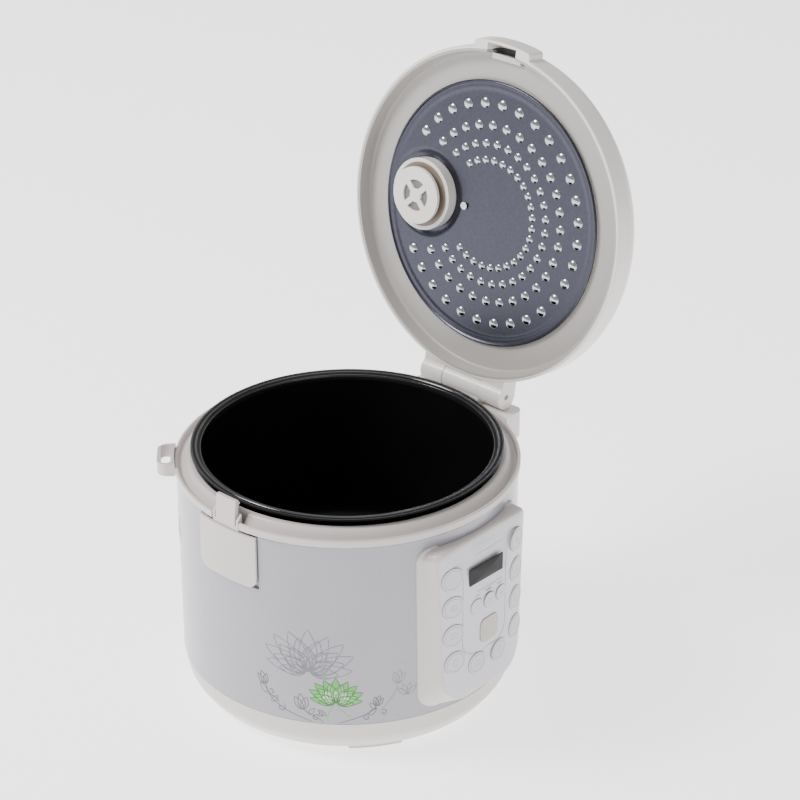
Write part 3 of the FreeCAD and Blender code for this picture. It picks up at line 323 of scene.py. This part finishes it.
def add_patch(bm, radius, deg, outline, lift):
    """A thin filled shape on a drum, from an outline that can be seen whole from its middle."""
    mid_s = sum(p[0] for p in outline) / len(outline)
    mid_z = sum(p[1] for p in outline) / len(outline)
    tops, lows = [], []
    for s, z in outline:
        tops.append(bm.verts.new(on_drum(radius + lift, deg, s, z)))
        lows.append(bm.verts.new(on_drum(radius - 0.15, deg, s, z)))
    top_mid = bm.verts.new(on_drum(radius + lift, deg, mid_s, mid_z))
    low_mid = bm.verts.new(on_drum(radius - 0.15, deg, mid_s, mid_z))
    n = len(outline)
    for i in range(n):
        j = (i + 1) % n
        bm.faces.new((tops[i], tops[j], top_mid))
        bm.faces.new((lows[j], lows[i], low_mid))
        bm.faces.new((tops[i], lows[i], lows[j], tops[j]))


def ring_path(s0, z0, r, count=40):
    return [(s0 + r * math.cos(2 * math.pi * i / count), z0 + r * math.sin(2 * math.pi * i / count))
            for i in range(count)]


def rounded_box_path(s0, z0, half_w, half_h, r, count=8):
    path = []
    for cs, cz, start in ((1, 1, 0.0), (-1, 1, 0.5), (-1, -1, 1.0), (1, -1, 1.5)):
        for i in range(count + 1):
            a = math.pi * (start + 0.5 * i / count)
            path.append((s0 + cs * (half_w - r) + r * math.cos(a),
                         z0 + cz * (half_h - r) + r * math.sin(a)))
    return path


def bezier(points, count=24):
    """Points along a smooth curve through Bezier control points."""
    out = []
    for i in range(count + 1):
        t = i / count
        pts = [Vector(p) for p in points]
        while len(pts) > 1:
            pts = [a.lerp(b, t) for a, b in zip(pts, pts[1:])]
        out.append((pts[0].x, pts[0].y))
    return out


# ---- lid plate ----------------------------------------------------------
def smoothstep(a, b, x):
    t = min(1.0, max(0.0, (x - a) / (b - a)))
    return t * t * (3 - 2 * t)


def plate_height(x, y):
    """How far the plate is pressed away from the pot, in mm."""
    r = math.hypot(x, y)
    dish = 1.7 * (1 - smoothstep(VALVE_DISH_R - 1.6, VALVE_DISH_R + 1.6, math.hypot(x - VALVE_X, y)))
    rim = -1.1 * math.exp(-((r - PLATE_R + 1.3) / 0.9) ** 2)
    step = 0.5 * (1 - smoothstep(104.0, 107.5, r))
    return dish + rim + step


def make_plate():
    bm = bmesh.new()
    segments = 256
    radii = [i * 1.5 for i in range(1, 70)] + [104.6 + i * 0.43 for i in range(21)]
    top, low = [], []
    for lift, store in ((0.0, low), (0.8, top)):
        for r in radii:
            row = []
            for k in range(segments):
                a = 2 * math.pi * k / segments
                x, y = r * math.cos(a), r * math.sin(a)
                row.append(bm.verts.new((x * MM, y * MM, (PLATE_Z + lift + plate_height(x, y)) * MM)))
            store.append(row)
        mid = bm.verts.new((0, 0, (PLATE_Z + lift + plate_height(0, 0)) * MM))
        for k in range(segments):
            bm.faces.new((store[0][k], store[0][(k + 1) % segments], mid))
        join_rows(bm, store)
    join_rows(bm, [low[-1], top[-1]])
    plate = finish_piece("lid_plate", mesh_from("lid_plate", bm, TO_OPEN), "lid",
                         "steel_plate")
    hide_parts("dimpled_plate")


def add_dome(bm, x, y, z, radius, height, segments=28, rings=7):
    """A pressed dimple that hangs down from z, with a small flare where it meets the plate."""
    rows = []
    for i in range(rings):
        t = math.pi / 2 * i / rings
        flare = 1 + 0.12 * (1 - i / rings) ** 6
        r, h = radius * math.cos(t) * flare, height * math.sin(t) - 0.25 * (i == 0)
        rows.append(circle_row(bm, x, y, r, z - h, segments))
    tip = bm.verts.new((x * MM, y * MM, (z - height) * MM))
    join_rows(bm, rows)
    for k in range(segments):
        bm.faces.new((rows[-1][k], rows[-1][(k + 1) % segments], tip))
    bm.faces.new(list(reversed(rows[0])))


def make_dimples():
    bm = bmesh.new()
    for r, count, half, size in DIMPLE_ROWS:
        for i in range(count):
            a = math.radians(-half + 2 * half * i / (count - 1))
            x, y = r * math.cos(a), -r * math.sin(a)
            add_dome(bm, x, y, PLATE_Z + 0.5, size * 1.2, size * 0.5)
    # The domes take the lighter dimple colour, a painted highlight on the plate's own metal.
    finish_piece("plate_dimples", mesh_from("plate_dimples", bm, TO_OPEN), "lid",
                 "dimple_painted_highlight")


# ---- printed decoration -------------------------------------------------
def petal(base, lean, length, width, tip=0.12, count=14):
    """Outline of a pointed petal from base, leaning lean degrees from upright."""
    a = math.radians(lean)
    ux, uz = math.sin(a), math.cos(a)
    sides = []
    for sign in (1, -1):
        row = []
        for i in range(count + 1):
            t = i / count
            w = width / 2 * math.sin(math.pi * t ** 0.85) ** 0.8 * (1 - tip * t)
            bend = 0.10 * length * math.sin(a) * t * t
            row.append((base[0] + ux * length * t + uz * w * sign,
                        base[1] + uz * length * t - ux * w * sign + bend * -0.4))
        sides.append(row)
    return sides[0] + sides[1][-2:0:-1]


LOTUS_LAYERS = (
    ((-84, 1.02, 0.30), (84, 1.02, 0.30), (-64, 1.10, 0.36), (64, 1.10, 0.36), (-44, 1.06, 0.36),
     (44, 1.06, 0.36), (-24, 0.96, 0.36), (24, 0.96, 0.36), (0, 0.94, 0.38)),
    ((-92, 0.70, 0.26), (92, 0.70, 0.26), (-70, 0.84, 0.34), (70, 0.84, 0.34), (-48, 0.82, 0.36),
     (48, 0.82, 0.36), (-15, 0.78, 0.36), (15, 0.78, 0.36)),
    ((-60, 0.56, 0.32), (60, 0.56, 0.32), (-34, 0.62, 0.36), (34, 0.62, 0.36), (0, 0.56, 0.30)))


def make_lotus(name, deg, foot_z, size, line, line_mat, fill_mats=None):
    """A lotus flower in layers of petals, drawn as raised lines, with filled petals if asked."""
    for level, layer in enumerate(LOTUS_LAYERS):
        lines = bmesh.new()
        fills = bmesh.new()
        for i, (lean, length, width) in enumerate(layer):
            shape = petal((0.04 * size * math.sin(math.radians(lean)), foot_z), lean,
                          length * size * (1 - 0.22 * abs(lean) / 90), width * size)
            level_lift = 0.05 + 0.05 * level
            if fill_mats:
                add_patch(fills, SHELL_R, deg, shape, level_lift + 0.004 * i)
            add_ribbon(lines, SHELL_R, deg, shape, line, level_lift + 0.06 + 0.004 * i, True)
        piece = "%s_lines_%d" % (name, level + 1)
        finish_piece(piece, mesh_from(piece, lines), "body", line_mat, False)
        if fill_mats:
            piece = "%s_fill_%d" % (name, level + 1)
            finish_piece(piece, mesh_from(piece, fills), "body", fill_mats[level], False)
        else:
            fills.free()


def make_line_piece(name, paths, mat, width, lift, closed=False):
    """Raised lines printed on the shell; their s is measured from the front of the body."""
    bm = bmesh.new()
    for path in paths:
        add_ribbon(bm, SHELL_R, 0.0, path, width, lift, closed)
    finish_piece(name, mesh_from(name, bm), "body", mat, False)


def spiral(s0, z0, r, turns, start, flip=1, count=30):
    path = []
    for i in range(count + 1):
        t = i / count
        a = start + flip * 2 * math.pi * turns * t
        path.append((s0 + r * (1 - 0.85 * t) * math.cos(a), z0 + r * (1 - 0.85 * t) * math.sin(a)))
    return path


def bud(s0, z0, lean, size):
    return [petal((s0, z0), lean + d, size * k, size * 0.42)
            for d, k in ((-24, 0.86), (24, 0.86), (0, 1.0))]


def make_decor():
    make_lotus("lotus_grey", 29.6, 85.0, 42.0, 0.7, "print_light")
    make_lotus("lotus_green", 38.6, 57.0, 25.0, 0.75, "print_deep",
               ("print_green", "print_pale", "print_leaf"))
    foot = SHELL_R * math.radians(38.6)
    stems = [bezier(((foot, 57), (foot - 3, 50), (foot - 9, 46), (foot - 6, 37.4))),
             bezier(((foot, 57), (foot + 3, 50), (foot + 8, 47), (foot + 12, 43)))]
    make_line_piece("stems_green", stems, "print_green", 0.9, 0.10)
    left = SHELL_R * math.radians(27.5)
    far = SHELL_R * math.radians(14.5)
    right = SHELL_R * math.radians(52.0)
    grey = [bezier(((left, 50), (left + 2, 44), (left + 12, 44), (left + 17, 37.4))),
            bezier(((far, 66), (far + 2, 52), (far + 8, 48), (left - 4, 40.5), (left + 8, 37.4))),
            bezier(((right, 54), (right - 3, 46), (right - 12, 44), (foot + 2, 37.4))),
            bezier(((far + 2, 56), (far + 10, 56), (far + 12, 50))),
            spiral(far + 13.5, 46.5, 4.0, 1.1, 1.2, -1), spiral(far + 4.5, 60.0, 3.6, 1.2, 2.8, 1),
            spiral(left + 11.0, 41.5, 3.4, 1.2, 0.5, 1), spiral(foot - 13.0, 45.0, 3.0, 1.1, 2.0, -1),
            spiral(right - 8.0, 42.5, 3.2, 1.2, 1.0, 1), spiral(right + 5.5, 46.0, 3.2, 1.1, 2.4, -1)]
    make_line_piece("stems_grey", grey, "print_grey", 0.9, 0.09)
    leaves = [petal((far + 1, 57), -38, 10, 4.4), petal((far + 5, 50), 42, 9, 4.0),
              petal((left + 5, 44), 36, 8, 3.6), petal((foot - 8, 44), -52, 8.5, 3.8),
              petal((right - 6, 44.5), 40, 9, 4.0), petal((right - 1, 50), -36, 7.5, 3.4)]
    make_line_piece("leaves_grey", leaves, "print_grey", 0.7, 0.09, closed=True)
    buds = bud(left, 48, -8, 15) + bud(far - 1, 65, -14, 12) + bud(right, 53, 14, 10)
    make_line_piece("buds_grey", buds, "print_grey", 0.8, 0.10, closed=True)
    high = SHELL_R * math.radians(59.0)
    pale = bud(high, 72, 10, 13)
    pale += [petal((high + 8, 60), lean, 11, 4.0) for lean in (-50, -18, 16, 48)]
    make_line_piece("buds_pale", pale, "print_light", 0.5, 0.08, closed=True)
    pale_stems = [bezier(((high, 72), (high - 1, 62), (high - 8, 56), (right + 2, 46)))]
    make_line_piece("stems_pale", pale_stems, "print_light", 0.6, 0.08)
    side = SHELL_R * math.radians(-40.0)
    faint = [petal((side, 140), lean, length, 9.0)
             for lean, length in ((-48, 22), (48, 22), (-24, 27), (24, 27), (0, 30))]
    make_line_piece("flower_faint", faint, "print_light", 0.45, 0.07, closed=True)


# ---- control panel ------------------------------------------------------
def key_icon(index, z0):
    """A small generic mark for a key: bars, a ring, a wave, a drop."""
    kind = index % 4
    if kind == 0:
        return [[(-3.6, z0 + d), (3.6, z0 + d)] for d in (-2.4, 0.0, 2.4)], False
    if kind == 1:
        return [ring_path(0, z0, 2.9, 24), ring_path(0, z0, 1.1, 16)], True
    if kind == 2:
        return [[(-4 + 8 * t / 16, z0 + d + 1.1 * math.sin(t * math.pi / 4)) for t in range(17)]
                for d in (-1.8, 1.8)], False
    return [petal((0, z0 - 3.6), 0, 7.4, 5.0)], True


def pod_outline(grow, taper, radii, low, high, half, count=10):
    """Rounded outline of the pod at one level, as (s, z); it narrows towards the bottom by taper."""
    top_r, low_r = radii
    corners = ((1, 1, top_r, 0.0), (-1, 1, top_r, 0.5), (-1, -1, low_r, 1.0), (1, -1, low_r, 1.5))
    path = []
    for cs, cz, r, start in corners:
        r = max(1.0, r + grow)
        z0 = high + grow if cz > 0 else low - grow
        w = half + grow - (taper if cz < 0 else 0.0)
        for i in range(count + 1):
            a = math.pi * (start + 0.5 * i / count)
            path.append((cs * (w - r) + r * math.cos(a), z0 - cz * r + r * math.sin(a)))
    return path


def make_pot_rim():
    """Polished ridges round the pot's rolled rim, and the step just inside it."""
    for name, profile in POT_RIM_PROFILES:
        bm = bmesh.new()
        join_rows(bm, [circle_row(bm, 0.0, 0.0, r, RIM_Z + rise, RIM_SEGMENTS) for r, rise in profile])
        finish_piece(name, mesh_from(name, bm), "pot", "nonstick_gloss")


def recess_outline(inset):
    """Down one side of the release plate's recess, along its bottom and up the other side."""
    w, low = RECESS_HALF - inset, RECESS_LOW_Z + inset
    down = [RECESS_TOP_Z - 4.7 * i for i in range(10)]
    return ([(-w, z) for z in down] + [(-w + 2 * w * i / 20, low) for i in range(21)]
            + [(w, z) for z in reversed(down)])


def make_release_lining():
    """Shell-coloured ledge round three sides of the recess that the release plate sits in."""
    bm = bmesh.new()
    rows = [[bm.verts.new(on_drum(SHELL_R - depth, 0.0, s0, z0)) for s0, z0 in recess_outline(inset)]
            for depth, inset in ((0.1, 0.0), (RECESS_DEPTH, 0.05), (RECESS_DEPTH, LEDGE_W))]
    join_rows(bm, rows, closed=False)
    finish_piece("release_lining", mesh_from("release_lining", bm), "body", "shell_coat",
                 False)


def make_cap_parts():
    """The brown neck and floor under the steam cap, and the fine screen behind its windows."""
    bm = bmesh.new()
    join_rows(bm, [circle_row(bm, VALVE_X, 0.0, NECK_R, z, CAP_SEGMENTS)
                   for z in (CAP_TOP_Z - 0.2, CAP_TOP_Z + 4.0, NECK_TOP_Z)])
    finish_piece("cap_neck", mesh_from("cap_neck", bm, TO_OPEN), "steam_cap", "neck_brown")
    bm = bmesh.new()
    join_rows(bm, [circle_row(bm, VALVE_X, 0.0, r, FLANGE_Z + rise, CAP_SEGMENTS)
                   for r, rise in VALVE_FLOOR])
    finish_piece("valve_floor", mesh_from("valve_floor", bm, TO_OPEN), "lid", "neck_brown")
    bm = bmesh.new()
    rows = [circle_row(bm, VALVE_X, 0.0, r, CAP_TOP_Z - SCREEN_DROP, SCREEN_SEGMENTS)
            for r in SCREEN_RADII]
    join_rows(bm, rows)
    bm.faces.new(rows[-1])
    finish_piece("cap_screen", mesh_from("cap_screen", bm, TO_OPEN), "steam_cap",
                 "cap_screen", False)


def pod_row(bm, radius, outline):
    return [bm.verts.new(on_drum(radius, POD_DEG, s0, z0)) for s0, z0 in outline]


def shrunk(outline, f, mid_z=POD_MID_Z):
    """The outline drawn in towards its middle, to f of its size."""
    return [(s0 * f, mid_z + (z0 - mid_z) * f) for s0, z0 in outline]


def make_pod():
    """The panel's moulding: a rounded foot, sloping sides and a face that follows the body's curve."""
    bm = bmesh.new()
    rows = []
    for lift, grow in ((-0.4, -0.1), (0.9, 0.0), (1.8, -0.5), (2.3, -1.5)):
        rows.append(pod_row(bm, SHELL_R + lift, pod_outline(grow, **POD_BASE)))
    inner, outer = pod_outline(-2.2, **POD_BASE), pod_outline(0.9, **POD_FACE)
    low_r, high_r = SHELL_R + 2.4, POD_FACE_R - 1.9
    for t in (0.0, 0.12, 0.35, 0.65, 0.88, 1.0):
        slope = [(a[0] + (b[0] - a[0]) * t, a[1] + (b[1] - a[1]) * t) for a, b in zip(inner, outer)]
        rows.append(pod_row(bm, low_r + (high_r - low_r) * t, slope))
    for lift, grow in ((-1.2, 0.5), (-0.6, 0.0), (-0.2, -0.7), (0.0, -1.6)):
        rows.append(pod_row(bm, POD_FACE_R + lift, pod_outline(grow, **POD_FACE)))
    join_rows(bm, rows)
    bm.faces.new(rows[0])
    edge = pod_outline(-1.6, **POD_FACE)
    face = [pod_row(bm, POD_FACE_R, shrunk(edge, f))
            for f in (0.97, 0.9, 0.8, 0.7, 0.6, 0.5, 0.4, 0.3, 0.2, 0.1, 0.03)]
    join_rows(bm, rows[-1:] + face)
    bm.faces.new(face[-1])
    pod = finish_piece("panel_pod", mesh_from("panel_pod", bm), "body", "cream_plastic")
    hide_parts("panel_housing")


def make_face_sheet():
    """The cool white sheet that covers the pod's face, inside its rounded edge."""
    bm = bmesh.new()
    edge = pod_outline(-2.2, **POD_FACE)
    rows = [pod_row(bm, radius, shrunk(edge, f))
            for radius, f in ((POD_FACE_R - 0.3, 1.0), (POD_FACE_R + 0.1, 0.995), (SHEET_R, 0.985),
                              *((SHEET_R, f / 20) for f in range(19, 0, -1)))]
    join_rows(bm, rows)
    bm.faces.new(rows[-1])
    bm.faces.new(list(reversed(rows[0])))
    sheet = finish_piece("panel_face", mesh_from("panel_face", bm), "body",
                         "overlay_white")
    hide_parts("panel_overlay")


def arc_path(s0, z0, r, start, stop, step=9):
    """Points on an arc about s0, z0, from the angle start to before stop, in degrees."""
    return [(s0 + r * math.cos(math.radians(a)), z0 + r * math.sin(math.radians(a)))
            for a in range(start, stop, step)]


def make_emboss():
    """The raised outline round the display and start key, and a thin rule under the display."""
    outline = ([(EMBOSS_LEFT, 166.0), (EMBOSS_LEFT, 140.0), (EMBOSS_LEFT, EMBOSS_LOW_Z + 2)]
               + arc_path(EMBOSS_LEFT + EMBOSS_R, EMBOSS_LOW_Z, EMBOSS_R, 185, 271)
               + arc_path(EMBOSS_RIGHT - EMBOSS_R, EMBOSS_LOW_Z, EMBOSS_R, 270, 360)
               + [(EMBOSS_RIGHT, EMBOSS_LOW_Z + 2), (EMBOSS_RIGHT, 140.0), (EMBOSS_RIGHT, 172.0)])
    rule_z = SMALL_KEYS[0][1] + 13.0
    bm = bmesh.new()
    add_ribbon(bm, SHEET_R, POD_DEG, outline, 0.9, 0.22)
    add_ribbon(bm, SHEET_R, POD_DEG, [(-26.0, rule_z), (-2.0, rule_z), (18.0, rule_z)], 0.35, 0.05)
    finish_piece("panel_emboss", mesh_from("panel_emboss", bm), "body", "print_key", False)


def make_key_gap_shade():
    """Painted shade in the gaps round all the keys: thin dark raised rings on the face sheet."""
    rounds = [(spot, SIDE_KEY_R) for spot in LEFT_KEYS + RIGHT_KEYS]
    rounds += [(spot, BOTTOM_KEY_R) for spot in BOTTOM_KEYS]
    rounds += [(spot, SMALL_KEY_R) for spot in SMALL_KEYS]
    paths = [(deg, ring_path(0, z, r + GAP_SHADE_OUT, 64)) for (deg, z), r in rounds]
    deg, z = START_AT
    half_w, half_h = START_HALF
    paths.append((deg, rounded_box_path(0, z, half_w + GAP_SHADE_OUT, half_h + GAP_SHADE_OUT, START_CORNER_R)))
    bm = bmesh.new()
    for deg, path in paths:
        add_ribbon(bm, GROOVE_R, POD_DEG + deg, path, GAP_SHADE_W, GAP_SHADE_LIFT, True)
    finish_piece("key_gap_shade", mesh_from("key_gap_shade", bm), "body", "painted_gap_shade",
                 False)


def make_dashes():
    """Plain dashes where the panel is printed, over the small keys and above the display."""
    bm = bmesh.new()
    for deg, z in SMALL_KEYS:
        dash = [(-4.0, z + 9.5), (0, z + 9.5), (4.0, z + 9.5)]
        add_ribbon(bm, GROOVE_R, POD_DEG + deg, dash, 1.1, 0.07)
    dash = [(-17.0, BRAND_DASH_Z), (0, BRAND_DASH_Z + 0.4), (17.0, BRAND_DASH_Z)]
    add_ribbon(bm, GROOVE_R, POD_DEG, dash, 1.4, 0.07)
    finish_piece("panel_dashes", mesh_from("panel_dashes", bm), "body", "print_key", False)


def make_display():
    """A plain dark window that stands just proud of the face."""
    deg, z0 = POD_DEG + DISPLAY_AT[0], DISPLAY_AT[1]
    outline = rounded_box_path(0, z0, *DISPLAY_HALF, 0.8, 3)
    bm = bmesh.new()
    rows = [[bm.verts.new(on_drum(POD_FACE_R + lift, deg, s, z)) for s, z in shrunk(outline, f, z0)]
            for lift, f in ((-0.2, 1.0), (0.25, 1.0), (0.34, 0.985), (0.34, 0.8), (0.34, 0.5), (0.34, 0.2))]
    join_rows(bm, rows)
    bm.faces.new(rows[-1])
    bm.faces.new(list(reversed(rows[0])))
    lens = finish_piece("display_window", mesh_from("display_window", bm), "body",
                        "display_dark", False)
    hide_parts("display_lens")


def mark_key(name, deg, z, r, icon):
    """A raised ring and a small generic mark on a round key."""
    bm = bmesh.new()
    add_ribbon(bm, KEY_TOP_R, POD_DEG + deg, ring_path(0, z, r - 1.9, 56), 0.6, 0.14, True)
    marks, closed = key_icon(icon, z)
    for path in marks:
        add_ribbon(bm, KEY_TOP_R, POD_DEG + deg, path, 0.55, 0.08, closed)
    finish_piece(name + "_mark", mesh_from(name + "_mark", bm), name, "print_key", False)


def make_key_marks():
    rows = (("key_left", LEFT_KEYS, SIDE_KEY_R, 0), ("key_right", RIGHT_KEYS, SIDE_KEY_R, 1),
            ("key_bottom", BOTTOM_KEYS, BOTTOM_KEY_R, 2))
    for side, spots, r, first_icon in rows:
        for i, (deg, z) in enumerate(spots):
            mark_key("%s_%d" % (side, i + 1), deg, z, r, i + first_icon)
    for i, (deg, z) in enumerate(SMALL_KEYS):
        bars = [[(-1.8, z), (0.0, z), (1.8, z)]]
        if i > 0:
            bars.append([(0.0, z - 1.8), (0.0, z), (0.0, z + 1.8)])
        bm = bmesh.new()
        for path in bars:
            add_ribbon(bm, KEY_TOP_R, POD_DEG + deg, path, 0.5, 0.08)
        name = "key_small_%d" % (i + 1)
        finish_piece(name + "_mark", mesh_from(name + "_mark", bm), name, "print_key", False)
    deg, z = START_AT
    bm = bmesh.new()
    for half, rise in ((5.0, 2.0), (3.4, -2.0)):
        bar = [(-half, z + rise), (0, z + rise), (half, z + rise)]
        add_ribbon(bm, KEY_TOP_R, POD_DEG + deg, bar, 1.0, 0.08)
    finish_piece("key_start_mark", mesh_from("key_start_mark", bm), "key_start", "print_beige",
                 False)


dress_cad_nodes()
make_plate()
make_dimples()
make_decor()
make_pot_rim()
make_release_lining()
make_cap_parts()
make_pod()
make_face_sheet()
make_emboss()
make_key_gap_shade()
make_dashes()
make_display()
make_key_marks()


# ---- stage --------------------------------------------------------------
CAMERA_AZ = math.radians(41.99)
CAMERA_EL = math.radians(27.81)
CAMERA_DISTANCE = 2.1298
CAMERA_TARGET = Vector((0.0, 0.0, 0.220))
CAMERA_SIDE = 0.043
CAMERA_RISE = 0.033
LIGHT_TARGET = Vector((0.0, 0.0, 0.2))
FLOOR_HALF = 12.0
FLOOR_DROP = 0.0002
FLOOR_GLOW = 1.7
WORLD_GLOW = 0.55


def make_camera():
    back = Vector((math.sin(CAMERA_AZ) * math.cos(CAMERA_EL), -math.cos(CAMERA_AZ) * math.cos(CAMERA_EL),
                   math.sin(CAMERA_EL)))
    right = Vector((math.cos(CAMERA_AZ), math.sin(CAMERA_AZ), 0.0))
    up = back.cross(right)
    data = bpy.data.cameras.new("camera")
    data.lens = 117.0
    data.sensor_width = 36.0
    data.clip_end = 50.0
    camera = bpy.data.objects.new("camera", data)
    rotation = Matrix((right, up, back)).transposed().to_4x4()
    place = CAMERA_TARGET + back * CAMERA_DISTANCE + right * CAMERA_SIDE + up * CAMERA_RISE
    camera.matrix_world = Matrix.Translation(place) @ rotation
    bpy.context.scene.collection.objects.link(camera)
    bpy.context.scene.camera = camera


def make_floor():
    bm = bmesh.new()
    bmesh.ops.create_grid(bm, x_segments=1, y_segments=1, size=FLOOR_HALF)
    mesh = bpy.data.meshes.new("floor")
    bm.to_mesh(mesh)
    bm.free()
    floor = bpy.data.objects.new("floor", mesh)
    floor.location.z = -FLOOR_DROP
    bpy.context.scene.collection.objects.link(floor)
    mat, _, _, bsdf = new_material("floor")
    bsdf.inputs["Base Color"].default_value = (0.93, 0.93, 0.93, 1.0)
    bsdf.inputs["Roughness"].default_value = 0.9
    bsdf.inputs["Emission Color"].default_value = (1.0, 1.0, 1.0, 1.0)
    bsdf.inputs["Emission Strength"].default_value = FLOOR_GLOW
    mesh.materials.append(mat)


def add_light(name, place, size, power):
    data = bpy.data.lights.new(name, "AREA")
    data.shape = "RECTANGLE"
    data.size, data.size_y = size
    data.energy = power
    light = bpy.data.objects.new(name, data)
    light.matrix_world = (Matrix.Translation(place)
                          @ (LIGHT_TARGET - Vector(place)).to_track_quat("-Z", "Y").to_matrix().to_4x4())
    bpy.context.scene.collection.objects.link(light)


def make_lights():
    world = bpy.data.worlds.new("studio")
    world.use_nodes = True
    world.node_tree.nodes["Background"].inputs["Color"].default_value = (1.0, 1.0, 1.0, 1.0)
    world.node_tree.nodes["Background"].inputs["Strength"].default_value = WORLD_GLOW
    bpy.context.scene.world = world
    add_light("key", (-1.3, -1.4, 2.2), (1.0, 1.0), 84.0)
    add_light("fill", (2.4, -0.8, 1.2), (1.4, 1.8), 5.0)
    add_light("top", (0.0, 0.3, 3.0), (2.0, 2.0), 14.0)


make_floor()
make_lights()
make_camera()
